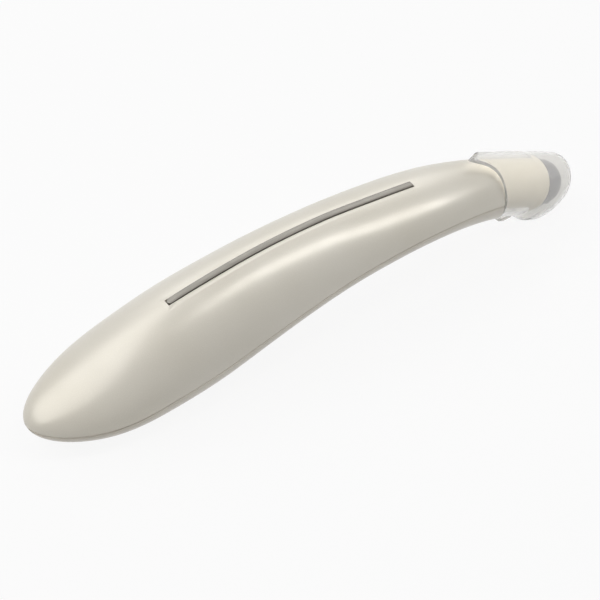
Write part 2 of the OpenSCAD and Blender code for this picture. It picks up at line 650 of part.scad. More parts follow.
// Motor in its rubber boot
module motor_boot() color([0.15, 0.15, 0.15]) {
    in_head() translate([0, 0, motor_place - 0.85]) difference() {
        cylinder(r = sleeve_bore - 0.04, h = motor_length);
        translate([0, 0, -1]) cylinder(r = motor_radius + 0.03, h = motor_length + 2);
    }
}
module motor_can() color([0.72, 0.72, 0.72]) {
    in_head() translate([0, 0, motor_place]) difference() {
        cylinder(r = motor_radius, h = motor_length);
        translate([0, 0, -1]) cylinder(r = motor_radius - 0.3, h = motor_length + 0.5);
        cylinder(r = shaft_radius + 0.7, h = motor_length + 1);
    }
}
module motor_endbell() color([0.9, 0.88, 0.8]) {
    in_head() difference() {
        union() {
            translate([0, 0, motor_place - 0.8]) cylinder(r = motor_radius, h = 0.8);
            translate([0, 0, motor_place - 0.1])
                cylinder(r = motor_radius - 0.32, h = 1.1);
        }
        translate([0, 0, motor_place]) cylinder(r = shaft_radius + shaft_gap, h = 3);
    }
}
module motor_bush() color([0.75, 0.6, 0.35]) {
    in_head() translate([0, 0, motor_place + motor_length - 1.4]) difference() {
        union() {
            cylinder(r = shaft_radius + 0.68, h = 1.6);
            cylinder(r = shaft_radius + 1.1, h = 0.85);
        }
        translate([0, 0, -1]) cylinder(r = shaft_radius + shaft_gap, h = 4);
    }
}
module motor_shaft() color([0.6, 0.6, 0.6]) {
    in_head() translate([0, 0, motor_place + 0.1])
        cylinder(r = shaft_radius, h = rotor_front - motor_place);
}
module eccentric_weight() color([0.45, 0.45, 0.47]) {
    in_head() translate([0, 0, motor_place + motor_length + 0.8]) difference() {
        union() {
            difference() {
                cylinder(r = motor_radius - 0.1, h = 2.4);
                translate([-10, -20, -1]) cube([20, 20, 5]);
            }
            cylinder(r = shaft_radius + 0.7, h = 2.4);
        }
        translate([0, 0, -1]) cylinder(r = shaft_radius + 0.01, h = 5);
    }
}
function head_point(x, y, h) = placed(head_root)
    + [x * cos(head_slope) - h * sin(head_slope), y, x * sin(head_slope) + h * cos(head_slope)];
module motor_leads() color([0.7, 0.1, 0.1]) {
    edge = board_length / 2;
    room = body_length * (1 - button_share) - edge;
    for (y = [-1, 1]) tube([board_point(edge - 2, y * 1.6, board_top + 0.5),
        board_point(edge + 0.6, y * 1.5, board_top + 0.55),
        at(1 - share(0.66 * room), y * 1.4, 2.2), at(1 - share(0.4 * room), y * 1.3, 1.6),
        at(1 - share(0.15 * room), y * 1.2, 1.5), head_point(0.8, y * 1.2, 0),
        head_point(motor_place - 0.85, y * 1.2, 0)], 0.4, 16);
}

// Board, switch and button
module circuit_board() color([0.1, 0.35, 0.2]) {
    on_line(button_share) union() {
        translate([-board_length / 2, -board_width / 2, board_low])
            cube([board_length, board_width, board_thickness]);
        translate([-2.5, -2, board_top]) cube([5, 4, 1.1]);
    }
}
module switch_body() color([0.15, 0.15, 0.16]) {
    on_line(button_share) difference() {
        translate([-switch_width / 2, -switch_width / 2, switch_low])
            cube([switch_width, switch_width, switch_height]);
        translate([0, 0, switch_low - 1])
            cylinder(r = plunger_radius + 0.05, h = button_travel + 2.3);
    }
}
module switch_plunger() color([0.8, 0.8, 0.8]) {
    on_line(button_share) translate([0, 0, flange_top])
        cylinder(r = plunger_radius, h = switch_low - flange_top + 0.9);
}
module power_button() color([0.78, 0.76, 0.7]) {
    on_line(button_share) union() {
        stadium(button_length + 2, button_width + 2, flange_low, flange_top);
        intersection() {
            stadium(button_length, button_width, button_low - 1, flange_low + 0.1);
            translate([0, 0, button_low + 22]) sphere(r = 22);
        }
    }
}

// Battery, contacts and leads
module battery_cell() color([0.7, 0.7, 0.7]) {
    in_bay() union() {
        rod(-cell_length / 2, cell_length / 2 - 1, cell_radius - 0.16);
        rod(0, cell_length / 2, 1.9);
    }
}
module battery_jacket() color([0.2, 0.3, 0.5]) {
    in_bay() difference() {
        rod(0.6 - cell_length / 2, cell_length / 2 - 1.6, cell_radius);
        rod(-cell_length, cell_length, cell_radius - 0.15);
    }
}
module battery_spring() color([0.75, 0.75, 0.75]) {
    turns = 4;
    rings = 49;
    wire = 0.35;
    sides = 6;
    rear = bay_rear + wire + end_gap;
    length = spring_room - 2 * wire - 2 * end_gap;
    in_bay() polyhedron([for (i = [0:rings - 1]) let (t = i / (rings - 1), a = 360 * turns * t,
        r = 3.8 - 1.2 * t) for (k = [0:sides - 1]) let (b = -360 * k / sides)
            [rear + length * t + wire * sin(b), (r + wire * cos(b)) * cos(a),
                (r + wire * cos(b)) * sin(a)]], stack_faces(rings, sides));
}
module contact_sheet(x, tab) {
    in_bay() union() {
        translate([x, -4.5, -4.2]) cube([plate, 9, 8.2]);
        translate([x, tab - 1, 3.9]) cube([plate, 2, 1.8]);
    }
}
module spring_plate() color([0.8, 0.78, 0.72]) contact_sheet(bay_rear - plate, 3.5);
module contact_plate() color([0.8, 0.78, 0.72]) contact_sheet(bay_front, -3.5);
module battery_leads() color([0.1, 0.1, 0.1]) {
    rear = cell_place + bay_rear;
    front = cell_place + bay_front;
    screw = front_screw_share * body_length;
    tube([at(share(rear + 0.8), 3.5, 3.4), at(share(rear + 4), 6, 3.4),
        at(share(cell_place - 16), 8, 2), at(share(cell_place - 1), 8, 1.6),
        at(share(cell_place + 14), 7.6, 1.8), at(share(screw - 5), 6.4, 2.4),
        at(share(screw + 2), 4.8, 2.5), board_point(-board_length / 2 - 0.6, 2.6, board_top + 0.6),
        board_point(2 - board_length / 2, 2, board_top + 0.55)], 0.45, 22);
    tube([at(share(front + 0.9), -3.5, 4.8), at(share(front + 3), -4, 4.8),
        at(share(screw - 2), -5, 3.6), at(share(screw + 2), -4.8, 2.7),
        board_point(-board_length / 2 - 0.6, -2.6, board_top + 0.6),
        board_point(2 - board_length / 2, -2, board_top + 0.55)], 0.45, 12);
}

// Battery door with its rear tongues, front catch and grip ridges
module battery_door() color([0.66, 0.62, 0.56]) {
    root = [door_ledge - door_length / 2 + 0.6, door_length / 2 - door_ledge - 0.8];
    foot = [for (x = root) door_view(x, 0, door_thickness)[1] - 0.3];
    over = max([for (x = [-0.8, 0, 0.8]) door_view(x + root[0] - 1.2, 4.4, wall)[1]]) + tongue_gap;
    union() {
        belly_slab(door_length, door_width, 2, door_thickness, 0);
        for (y = [-3.2, 3.2]) on_line(door_share) {
            translate([door_rear + 0.25, y - 1.2, foot[0]]) cube([0.9, 2.4, over + 0.8 - foot[0]]);
            translate([door_rear - 0.85, y - 1.2, over]) cube([2, 2.4, 0.8]);
        }
        on_line(door_share) translate([door_front - 1.2, -3, foot[1]])
            cube([0.9, 6, wall - door_thickness + 0.5]);
        for (k = [0:2]) let (u = share(door_place + door_length / 2 - 5 - 1.8 * k))
            on_line(u) translate([0, 0, ground(u, 2.5, 0) + 0.2]) rotate([90, 0, 0])
                cylinder(r = 0.5, h = 5, center = true);
    }
}

module shell_screws() color([0.6, 0.6, 0.62]) {
    for (u = [rear_screw_share, front_screw_share]) on_line(u) difference() {
        union() {
            translate([0, 0, -screw_seat - 1.3]) cylinder(r = 1.9, h = 1.3);
            translate([0, 0, -screw_seat]) cylinder(r = screw_radius, h = screw_length);
        }
        for (a = [0, 90]) rotate([0, 0, a]) translate([-1.1, -0.2, -screw_seat - 2])
            cube([2.2, 0.4, 1.3]);
    }
}

upper_shell();
lower_shell();
accent_strip();
head_sleeve();
massage_tip();
tip_ring();
cap();
motor_boot();
motor_can();
motor_endbell();
motor_bush();
motor_shaft();
eccentric_weight();
motor_leads();
circuit_board();
switch_body();
switch_plunger();
power_button();
battery_cell();
battery_jacket();
battery_spring();
spring_plate();
contact_plate();
battery_leads();
battery_door();
shell_screws();
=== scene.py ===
"""Looks of an eye massager: pearl painted shells, a satin inlay strip, a polished metal tip under a
clear cap, and the battery and motor inside. Lengths in the formulas are in mm, u is a share of the
body's length (0 at the butt, 1 at the neck), and meshes are written in metres."""

import math

import bpy
import numpy as np
from bpy.props import FloatProperty, FloatVectorProperty, PointerProperty
from mathutils import Matrix, Vector


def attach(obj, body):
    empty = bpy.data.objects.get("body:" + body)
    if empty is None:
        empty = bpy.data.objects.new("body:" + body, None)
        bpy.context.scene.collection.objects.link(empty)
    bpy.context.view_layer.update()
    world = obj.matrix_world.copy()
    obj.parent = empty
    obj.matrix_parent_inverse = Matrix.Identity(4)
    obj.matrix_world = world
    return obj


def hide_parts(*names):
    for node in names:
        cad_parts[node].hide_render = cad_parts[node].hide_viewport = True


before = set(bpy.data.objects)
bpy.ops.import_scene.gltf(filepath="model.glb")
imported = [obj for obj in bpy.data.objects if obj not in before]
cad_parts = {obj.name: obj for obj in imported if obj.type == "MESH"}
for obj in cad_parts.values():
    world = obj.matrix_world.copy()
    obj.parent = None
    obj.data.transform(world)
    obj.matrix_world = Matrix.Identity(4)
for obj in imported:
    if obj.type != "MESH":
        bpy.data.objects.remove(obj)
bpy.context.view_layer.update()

bl_info = {
    "name": "Eye massager looks",
    "version": (1, 0, 0),
    "blender": (4, 5, 0),
    "location": "3D View > Sidebar > Massager",
    "description": "Builds the finishes and smooth surfaces of a handheld eye massager",
    "category": "Add Mesh",
}

# A millimetre in metres, and the gap between the shells along the seam in mm
MM = 0.001
SEAM_GAP = 0.04
# Edges whose faces meet at more than this angle stay sharp
SMOOTH_ANGLE = math.radians(32)
# Least length that a vector is divided by, and least half axis of a section, in mm
NO_LENGTH, NO_AXIS = 1e-12, 1e-6


# Properties


def length(text, mm, note):
    """A length property whose default is given in mm."""
    return FloatProperty(name=text, description=note, default=mm * MM, min=0, unit="LENGTH", precision=5)


def colour(text, rgb, note):
    """A colour property."""
    return FloatVectorProperty(
        name=text, description=note, default=rgb, size=3, min=0, max=1, subtype="COLOR"
    )


def share(text, value, note):
    """A share between 0 and 1."""
    return FloatProperty(name=text, description=note, default=value, min=0, max=1, subtype="FACTOR")


class BodySizes(bpy.types.PropertyGroup):
    """Sizes of the wand's body and of its inlay strip."""

    body_length: length("Body length", 138.8, "Length of the body along its middle line")
    butt_width: length("Butt half width", 16.1, "Half width a quarter along, before the butt closes")
    grip_width: length("Grip half width", 13.9, "Half width in the middle of the grip")
    neck_width: length("Neck half width", 8.3, "Half width of the neck's end")
    butt_crest: length("Butt crest", 15.7, "Crest a quarter along, before the butt closes")
    grip_crest: length("Grip crest", 14.5, "Height of the crest in the middle of the grip")
    neck_crest: length("Neck crest", 7.9, "Height of the crest at the neck's end")
    butt_belly: length("Butt belly", 10, "Belly a quarter along, before the butt closes")
    grip_belly: length("Grip belly", 7.9, "Depth of the belly in the middle of the grip")
    neck_belly: length("Neck belly", 8, "Depth of the belly at the neck's end")
    strip_width: length("Strip width", 1.8, "Width of the inlay strip")
    strip_proud: length("Strip height", 0.35, "How far the strip stands out of the shell")
    strip_start: share("Strip start", 0.319, "Where the strip starts, as a share of the body")
    strip_end: share("Strip end", 0.82, "Where the strip ends, as a share of the body")


class HeadSizes(bpy.types.PropertyGroup):
    """Sizes of the head, the tip and the cap."""

    sleeve_radius: length("Sleeve radius", 6.6, "Outer radius of the head sleeve")
    sleeve_bore: length("Sleeve bore", 5.3, "Inner radius of the head sleeve")
    sleeve_end: length("Sleeve end", 16.1, "Where the sleeve ends along the head")
    tip_radius: length("Tip radius", 6.2, "Radius of the metal tip")
    tip_skirt: length("Tip skirt", 2.2, "Straight part of the tip before its dome")
    cap_radius: length("Cap radius", 8.6, "Outer radius of the cap's tube")
    cap_dome: length("Cap reach", 8.88, "How far the cap's box reaches round the tip's centre")
    cap_wall: length("Cap wall", 1, "Wall of the cap's tube")
    cap_end_wall: length("Cap end wall", 0.75, "Wall of the cap's round end")
    cap_end_radius: length("Cap end radius", 9.15, "Outer radius where the cap has swelled")
    cap_end_drop: length("Cap end drop", 0.92, "How far the swelled part lies below the axis")
    cap_nose: length("Cap nose", 8.15, "How far the cap's end lies in front of the tip's centre")
    cap_nose_rise: length("Cap nose rise", 0.91, "Height of the cap's foremost point over the axis")
    cap_top_round: length("Cap top rounding", 4.1, "Length over which the top rounds down to the nose")
    cap_low_round: length("Cap low rounding", 10.8, "Length over which the underside rounds up to the nose")
    tongue_length: length("Tongue length", 7.5, "Length of the tongue over the neck")
    tongue_half: length("Tongue half width", 2, "Half width of the tongue about half way along it")


class Finishes(bpy.types.PropertyGroup):
    """Colours of the visible finishes."""

    pearl_light: colour("Pearl, light", (0.80, 0.762, 0.675), "Paint of the upper shell")
    pearl_deep: colour("Pearl, deep", (0.74, 0.697, 0.60), "Second tone of the paint")
    # Darker copies of the pearl paint for the lower shell and the door: painted shade for the side of the
    # wand that faces down
    shaded_pan_light: colour("Pan, light", (0.70, 0.655, 0.57), "Paint of the lower shell")
    shaded_pan_deep: colour("Pan, deep", (0.63, 0.585, 0.505), "Second tone of the lower shell")
    strip: colour("Strip", (0.20, 0.19, 0.17), "Satin metal of the inlay")
    tip: colour("Tip", (0.40, 0.40, 0.42), "Polished metal of the tip")
    cap: colour("Cap", (0.90, 0.892, 0.872), "Clear plastic of the cap")


def body():
    """The sizes of the body, in metres."""
    return bpy.context.scene.massager_body


def head():
    """The sizes of the head, the tip and the cap, in metres."""
    return bpy.context.scene.massager_head


def colour_of(finish):
    """The colour of a finish, as a tuple."""
    return tuple(getattr(bpy.context.scene.massager_finishes, finish))


# The body's form

# The middle line's slope at the butt, what u adds to it and what u squared takes off, in degrees
BUTT_SLOPE, RISE_BEND, DROOP_BEND = -3.25, 73.0, 90.0
# Steps in which the middle line is summed up
SPINE_STEPS = 96
# What nine values along the body add to its driving sizes: three each for the butt, grip and neck
WIDTH_STEPS = (2.4, 2.3, 0, 1.1, 0, -1.1, 3.7, 2.4, 0)
CREST_STEPS = (-3.6, -3, 0, 1, 0, -2.2, 1.7, 0.5, 0)
BELLY_STEPS = (0.1, 0, 0, 1.4, 0, -0.5, -0.5, -0.4, 0)
# What the fuller crest adds at the first three of them
BUTT_FULLNESS = (-0.3, 0.8, -0.4)
# The values are read up to just short of the last one, which has no next one
LAST_SHARE = 0.99999
# Share of the body over which the butt closes
NOSE_SHARE = 0.37
# Lean of the neck's face in degrees, and the share where it starts and over which it grows
NECK_LEAN, LEAN_START, LEAN_RUN = 14.6, 0.86, 0.11
# How far the head bends down in degrees, and its axis' height over the middle line's end
HEAD_BEND, HEAD_RISE = 4.5, 1.34
# Places at which the lowest point of the belly is looked for
BELLY_SAMPLES = 400
# Halvings that find a point's section, and the step between the points of a difference
HALVINGS, NORMAL_STEP = 36, 1e-4


def along(values, u):
    """Smooth cubic curve through nine even values at the shares u. Between two values b and c its
    ends slope as the lines from a, the value before, to c and from b to d, the value after."""
    x = np.clip(u, 0, LAST_SHARE) * (len(values) - 1)
    i = np.floor(x).astype(int)
    t = x - i
    v = np.concatenate([[2 * values[0] - values[1]], values, [2 * values[-1] - values[-2]]])
    a, b, c, d = v[i], v[i + 1], v[i + 2], v[i + 3]
    return b + t / 2 * (c - a + t * (2 * a - 5 * b + 4 * c - d + t * (3 * (b - c) + d - a)))


def nine_values(butt, grip, neck, steps):
    """Nine values along the body in mm: each driving size three times, with the steps added."""
    return np.repeat([butt, grip, neck], 3) / MM + steps


def slope(u):
    """Slope of the middle line in radians: it rises with u and droops with the square of u."""
    return np.radians(BUTT_SLOPE + RISE_BEND * u - DROOP_BEND * u * u)


def unit(vectors):
    """Vectors divided by their own lengths."""
    return vectors / np.maximum(np.linalg.norm(vectors, axis=-1, keepdims=True), NO_LENGTH)


class Form:
    """The body's surfaces as functions of u, worked out once from the properties. A full one has the
    fuller crest over the butt that the painted shell shows."""

    def __init__(self, full=False):
        b, h = body(), head()
        self.length = b.body_length / MM
        self.widths = nine_values(b.butt_width, b.grip_width, b.neck_width, WIDTH_STEPS)
        self.crests = nine_values(b.butt_crest, b.grip_crest, b.neck_crest, CREST_STEPS)
        self.bellies = nine_values(b.butt_belly, b.grip_belly, b.neck_belly, BELLY_STEPS)
        if full:
            self.crests[:3] += BUTT_FULLNESS
        step = self.length / SPINE_STEPS
        g = slope((np.arange(SPINE_STEPS) + 0.5) / SPINE_STEPS)
        self.line_x = np.concatenate([[0], np.cumsum(step * np.cos(g))])
        self.line_z = np.concatenate([[0], np.cumsum(step * np.sin(g))])
        self.head_slope = float(slope(1.0)) - math.radians(HEAD_BEND)
        self.neck_face = float(slope(1.0)) + math.radians(NECK_LEAN)
        self.tip_centre = h.sleeve_end / MM + h.tip_skirt / MM
        s, c = math.sin(self.head_slope), math.cos(self.head_slope)
        root = np.array([self.line_x[-1] - HEAD_RISE * s, 0, self.line_z[-1] + HEAD_RISE * c])
        dome = root + self.tip_centre * np.array([c, 0, s])
        # The wand is set down on its belly or its cap, whichever is lower, its middle over the origin
        reach = h.cap_dome / MM
        u = np.linspace(0, 1, BELLY_SAMPLES)
        low = self.raw(u, 0 * u, -self.depth(-1, u) - SEAM_GAP / 2)[:, 2].min()
        self.move = np.array([-(dome[0] + reach) / 2, 0, -min(low, dome[2] - reach)])
        self.head_root = root + self.move
        self.neck_root = np.array([self.line_x[-1], 0, self.line_z[-1]]) + self.move

    def middle(self, u):
        """Point of the middle line at u, before the wand is set down."""
        t = np.clip(u, 0, 1) * SPINE_STEPS
        k = np.arange(SPINE_STEPS + 1)
        return np.interp(t, k, self.line_x), np.interp(t, k, self.line_z)

    def lean(self, u):
        """Lean of the sections in radians: it grows to the neck's on an S-curve."""
        t = np.clip((u - LEAN_START) / LEAN_RUN, 0, 1)
        return math.radians(NECK_LEAN) * t * t * (3 - 2 * t)

    def closing(self, u):
        """1 along the body, falling to 0 at the butt as a quarter ellipse."""
        return np.where(u >= NOSE_SHARE, 1, np.sqrt(np.clip(1 - (1 - u / NOSE_SHARE) ** 2, 0, 1)))

    def width(self, u):
        """Half width of the body."""
        return along(self.widths, u) * self.closing(u)

    def depth(self, side, u):
        """Height of the crest (side 1) or depth of the belly (side -1)."""
        return along(self.crests if side > 0 else self.bellies, u) * self.closing(u)

    def raw(self, u, y, h):
        """Point y beside and h above the middle line at u, before the wand is set down. Going up by h
        also leads back along the line by h times the lean's tangent."""
        x, z = self.middle(u)
        g, k = slope(u), -h * np.tan(self.lean(u))
        return np.stack([x + k * np.cos(g) - h * np.sin(g), y, z + k * np.sin(g) + h * np.cos(g)], -1)

    def at(self, u, y, h):
        """Point y beside and h above the middle line at u, in the row frame."""
        return self.raw(u, y, h) + self.move

    def skin(self, side, u, a):
        """Point of the outer surface at u and at the angle a round its half ellipse."""
        return self.at(
            u, self.width(u) * np.cos(a), side * (SEAM_GAP / 2 + self.depth(side, u) * np.sin(a))
        )

    def skin_normal(self, side, u, a):
        """Outward unit normal of skin: the cross product of its two differences."""
        e = NORMAL_STEP
        u = np.clip(u, 2 * e, 1 - e)
        du = self.skin(side, u + e, a) - self.skin(side, u - e, a)
        da = self.skin(side, u, a + e) - self.skin(side, u, a - e)
        return unit(np.cross(du, da) * -side)

    def unroll(self, side, p):
        """(u, angle) of points: the range of u is halved towards the section that holds the point,
        and the angle comes from its height and y as shares of the section's depth and half width."""
        q = p - self.move
        low, high = np.zeros(len(p)), np.ones(len(p))
        for _ in range(HALVINGS):
            u = (low + high) / 2
            x, z = self.middle(u)
            g = slope(u)
            a = (q[:, 0] - x) * np.cos(g) + (q[:, 2] - z) * np.sin(g)
            h = -(q[:, 0] - x) * np.sin(g) + (q[:, 2] - z) * np.cos(g)
            ahead = a + h * np.tan(self.lean(u)) > 0
            low, high = np.where(ahead, u, low), np.where(ahead, high, u)
        up = (side * h - SEAM_GAP / 2) / np.maximum(self.depth(side, u), NO_AXIS)
        beside = q[:, 1] / np.maximum(self.width(u), NO_AXIS)
        return u, np.arctan2(up, beside)

    def on_head(self, x, y, z):
        """Row-frame points from the head's own frame: x down, y beside, z along its axis."""
        s, c = math.sin(self.head_slope), math.cos(self.head_slope)
        x, y, z = np.broadcast_arrays(x, y, z)
        return self.head_root + np.stack([x * s + z * c, y, -x * c + z * s], -1)

    def on_neck(self, x, y, z):
        """Row-frame points from the frame of the neck's end face."""
        s, c = math.sin(self.neck_face), math.cos(self.neck_face)
        x, y, z = np.broadcast_arrays(x, y, z)
        return self.neck_root + np.stack([x * s + z * c, y, -x * c + z * s], -1)

    def head_z(self, x, target):
        """Where along the head a point x below its axis lies target in front of the neck's face."""
        away = self.head_slope - self.neck_face
        start = (self.head_root - self.neck_root) @ [math.cos(self.neck_face), 0, math.sin(self.neck_face)]
        return (target - start - x * math.sin(away)) / math.cos(away)


# Mesh helpers

# Points round the head
HEAD_ROUND = 96
# Greatest share of a side that a rounded corner takes up, and the steps of its curve
CORNER_SHARE, CORNER_STEPS = 0.45, 4
# Coinciding points of a CAD node are found on a grid with this many steps to a mm
MERGE_GRID = 2000
# Edges of a painted face are split down to SPLIT_LENGTH in rounds
SPLIT_LENGTH, SPLIT_ROUNDS = 1.1, 3
# How near to the curve a painted face's points lie, and the least cosine between their normals
SKIN_REACH, SKIN_FACING = 0.09, 0.8


def circle(count):
    """Even angles once round, in radians."""
    return np.linspace(0, 2 * np.pi, count, endpoint=False)


def new_object(name, points, faces, material, normals=None):
    """A mesh object from points in mm and faces. normals gives each face corner's own normal."""
    mesh = bpy.data.meshes.new(name)
    mesh.from_pydata(np.asarray(points) * MM, [], [list(map(int, f)) for f in faces])
    mesh.validate()
    mesh.shade_smooth()
    if normals is not None:
        mesh.normals_split_custom_set(normals.tolist())
    else:
        mesh.set_sharp_from_angle(angle=SMOOTH_ANGLE)
    mesh.materials.append(material)
    made = bpy.data.objects.new(name, mesh)
    bpy.context.scene.collection.objects.link(made)
    return made


def ring_faces(rows, cols, start=0):
    """Quads between rows of points that close on themselves."""
    i, j = np.meshgrid(np.arange(rows - 1), np.arange(cols), indexing="ij")
    k = (j + 1) % cols
    quad = np.stack([i * cols + j, i * cols + k, (i + 1) * cols + k, (i + 1) * cols + j], -1)
    return quad.reshape(-1, 4) + start


def closed_rings(grid):
    """(points, faces) of a stack of rings, (rows, cols, 3). Its first and last ring are closed by a
    fan onto their middle points."""
    rows, cols = grid.shape[:2]
    points = np.concatenate([grid.reshape(-1, 3), [grid[0].mean(0), grid[-1].mean(0)]])
    first, last = rows * cols, rows * cols + 1
    j = np.arange(cols)
    k = (j + 1) % cols
    start = np.stack([np.full(cols, first), k, j], -1)
    end = np.stack([np.full(cols, last), j + (rows - 1) * cols, k + (rows - 1) * cols], -1)
    return points, [*ring_faces(rows, cols).tolist(), *start.tolist(), *end.tolist()]


def torus_rings(grid):
    """(points, faces) of rings whose last row joins the first, as the wall of a tube does."""
    rows, cols = grid.shape[:2]
    return grid.reshape(-1, 3), (ring_faces(rows + 1, cols) % (rows * cols)).tolist()


def joined(*parts):
    """One (points, faces) from several."""
    points, faces, start = [], [], 0
    for p, f in parts:
        points.append(np.asarray(p))
        faces += [[start + v for v in face] for face in f]
        start += len(p)
    return np.concatenate(points), faces


def round_path(path, radius):
    """A flat profile with each corner between its ends rounded to a short quadratic curve."""
    path = np.asarray(path, float)
    t = np.linspace(0, 1, CORNER_STEPS + 1)[:, None]
    out = [path[:1]]
    for a, b, c in zip(path[:-2], path[1:-1], path[2:]):
        before, after = np.linalg.norm(a - b), np.linalg.norm(c - b)
        near = min(radius, before * CORNER_SHARE, after * CORNER_SHARE)
        p = b + (a - b) / before * near
        q = b + (c - b) / after * near
        out.append((1 - t) ** 2 * p + 2 * t * (1 - t) * b + t * t * q)
    out.append(path[-1:])
    return np.concatenate(out)


def turned(form, profile):
    """Surface of revolution about the head's axis: a profile of (z, radius) carried round it."""
    a = circle(HEAD_ROUND)
    z, r = profile[:, :1], profile[:, 1:]
    return form.on_head(-r * np.cos(a), r * np.sin(a), z + 0 * a)


def cad_arrays(node):
    """Points in mm and triangles of a CAD node, with coinciding points merged."""
    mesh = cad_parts[node].data
    co = np.empty(len(mesh.vertices) * 3, np.float32)
    mesh.vertices.foreach_get("co", co)
    mesh.calc_loop_triangles()
    tri = np.empty(len(mesh.loop_triangles) * 3, np.int32)
    mesh.loop_triangles.foreach_get("vertices", tri)
    co = co.reshape(-1, 3).astype(float) / MM
    grid = np.round(co * MERGE_GRID).astype(np.int64)
    _, first, back = np.unique(grid, axis=0, return_index=True, return_inverse=True)
    faces = back.ravel()[tri].reshape(-1, 3)
    a, b, c = faces.T
    return co[first], faces[(a != b) & (b != c) & (a != c)]


def split_long(points, faces, outer, limit):
    """Splits at its middle each edge of an outer face that is longer than limit. Returns the new
    points, faces and outer marks."""
    edges = np.sort(faces[:, [0, 1, 1, 2, 2, 0]].reshape(-1, 2), axis=1)
    unique, back = np.unique(edges, axis=0, return_inverse=True)
    back = back.reshape(-1, 3)
    long = np.linalg.norm(points[unique[:, 0]] - points[unique[:, 1]], axis=1) > limit
    touches = np.zeros(len(unique), bool)
    touches[back[outer].ravel()] = True
    cut = long & touches
    middle = np.full(len(unique), -1)
    middle[cut] = len(points) + np.arange(cut.sum())
    points = np.concatenate([points, points[unique[cut]].mean(1)])
    m = middle[back]
    cuts = (m >= 0).sum(1)
    # Turn each face so that its cut edges come first
    one, two = np.argmax(m >= 0, axis=1), (np.argmin(m, axis=1) + 1) % 3
    first = np.where(cuts == 1, one, np.where(cuts == 2, two, 0))
    turn = (np.arange(3)[None] + first[:, None]) % 3
    f, m = np.take_along_axis(faces, turn, 1), np.take_along_axis(m, turn, 1)
    a, b, c = f.T
    p, q, r = m.T
    parts, marks = [], []
    for n, tris in (
        (0, [(a, b, c)]),
        (1, [(a, p, c), (p, b, c)]),
        (2, [(a, p, c), (p, q, c), (p, b, q)]),
        (3, [(a, p, r), (p, b, q), (r, q, c), (p, q, r)]),
    ):
        here = cuts == n
        for tri in tris:
            parts.append(np.stack(tri, 1)[here])
            marks.append(outer[here])
    return points, np.concatenate(parts), np.concatenate(marks)


def face_normals(points, faces):
    """Unit normals of triangles: the cross product of two of their edges."""
    a, b, c = points[faces[:, 0]], points[faces[:, 1]], points[faces[:, 2]]
    return unit(np.cross(b - a, c - a))


def painted_skin(form, shown, node, side, material):
    """The shell or door of a CAD node with its faceted outer face laid on the exact curve of shown:
    long edges of that face are split in rounds, its points are put on skin(u, angle), and their
    corners take the curve's own normal. form is the curve that the CAD node was made with."""
    points, faces = cad_arrays(node)
    u, a = form.unroll(side, points)
    near = np.linalg.norm(form.skin(side, u, a) - points, axis=1) < SKIN_REACH
    near &= (u > 0) & (u < 1)
    middle_u, middle_a = form.unroll(side, points[faces].mean(1))
    along_normal = face_normals(points, faces) * form.skin_normal(side, middle_u, middle_a)
    outer = near[faces].all(1) & (along_normal.sum(1) > SKIN_FACING)
    for _ in range(SPLIT_ROUNDS):
        points, faces, outer = split_long(points, faces, outer, SPLIT_LENGTH)
    used = np.zeros(len(points), bool)
    used[faces[outer].ravel()] = True
    u, a = form.unroll(side, points[used])
    points[used] = shown.skin(side, u, a)
    normals = np.repeat(face_normals(points, faces)[:, None], 3, 1)
    exact = np.zeros_like(points)
    exact[used] = shown.skin_normal(side, u, a)
    normals[outer] = exact[faces[outer]]
    return new_object("painted_" + node, points, faces, material, normals.reshape(-1, 3))


def combine(base, other, how):
    """base joined with other, or cut by it, and the result kept as base's own mesh."""
    step = base.modifiers.new(how.lower(), "BOOLEAN")
    step.operation, step.object, step.solver = how, other, "EXACT"
    bpy.context.view_layer.update()
    done = bpy.data.meshes.new_from_object(base.evaluated_get(bpy.context.evaluated_depsgraph_get()))
    base.modifiers.clear()
    old, base.data = base.data, done
    bpy.data.meshes.remove(old)
    bpy.data.objects.remove(other)
    done.set_sharp_from_angle(angle=SMOOTH_ANGLE)


# Materials


def shaded(rgb, gain):
    """A colour made lighter or darker by a gain, up to white."""
    return tuple(min(1, gain * c) for c in rgb)


def seen_directly(tree):
    """A socket that is 1 for rays from the camera, off a mirror or through the cap, and 0 for all
    others: the greatest of three outputs of the light path."""
    path = tree.nodes.new("ShaderNodeLightPath")
    seen = path.outputs["Is Camera Ray"]
    for name in ("Is Glossy Ray", "Is Transmission Ray"):
        both = tree.nodes.new("ShaderNodeMath")
        both.operation = "MAXIMUM"
        tree.links.new(seen, both.inputs[0])
        tree.links.new(path.outputs[name], both.inputs[1])
        seen = both.outputs[0]
    return seen


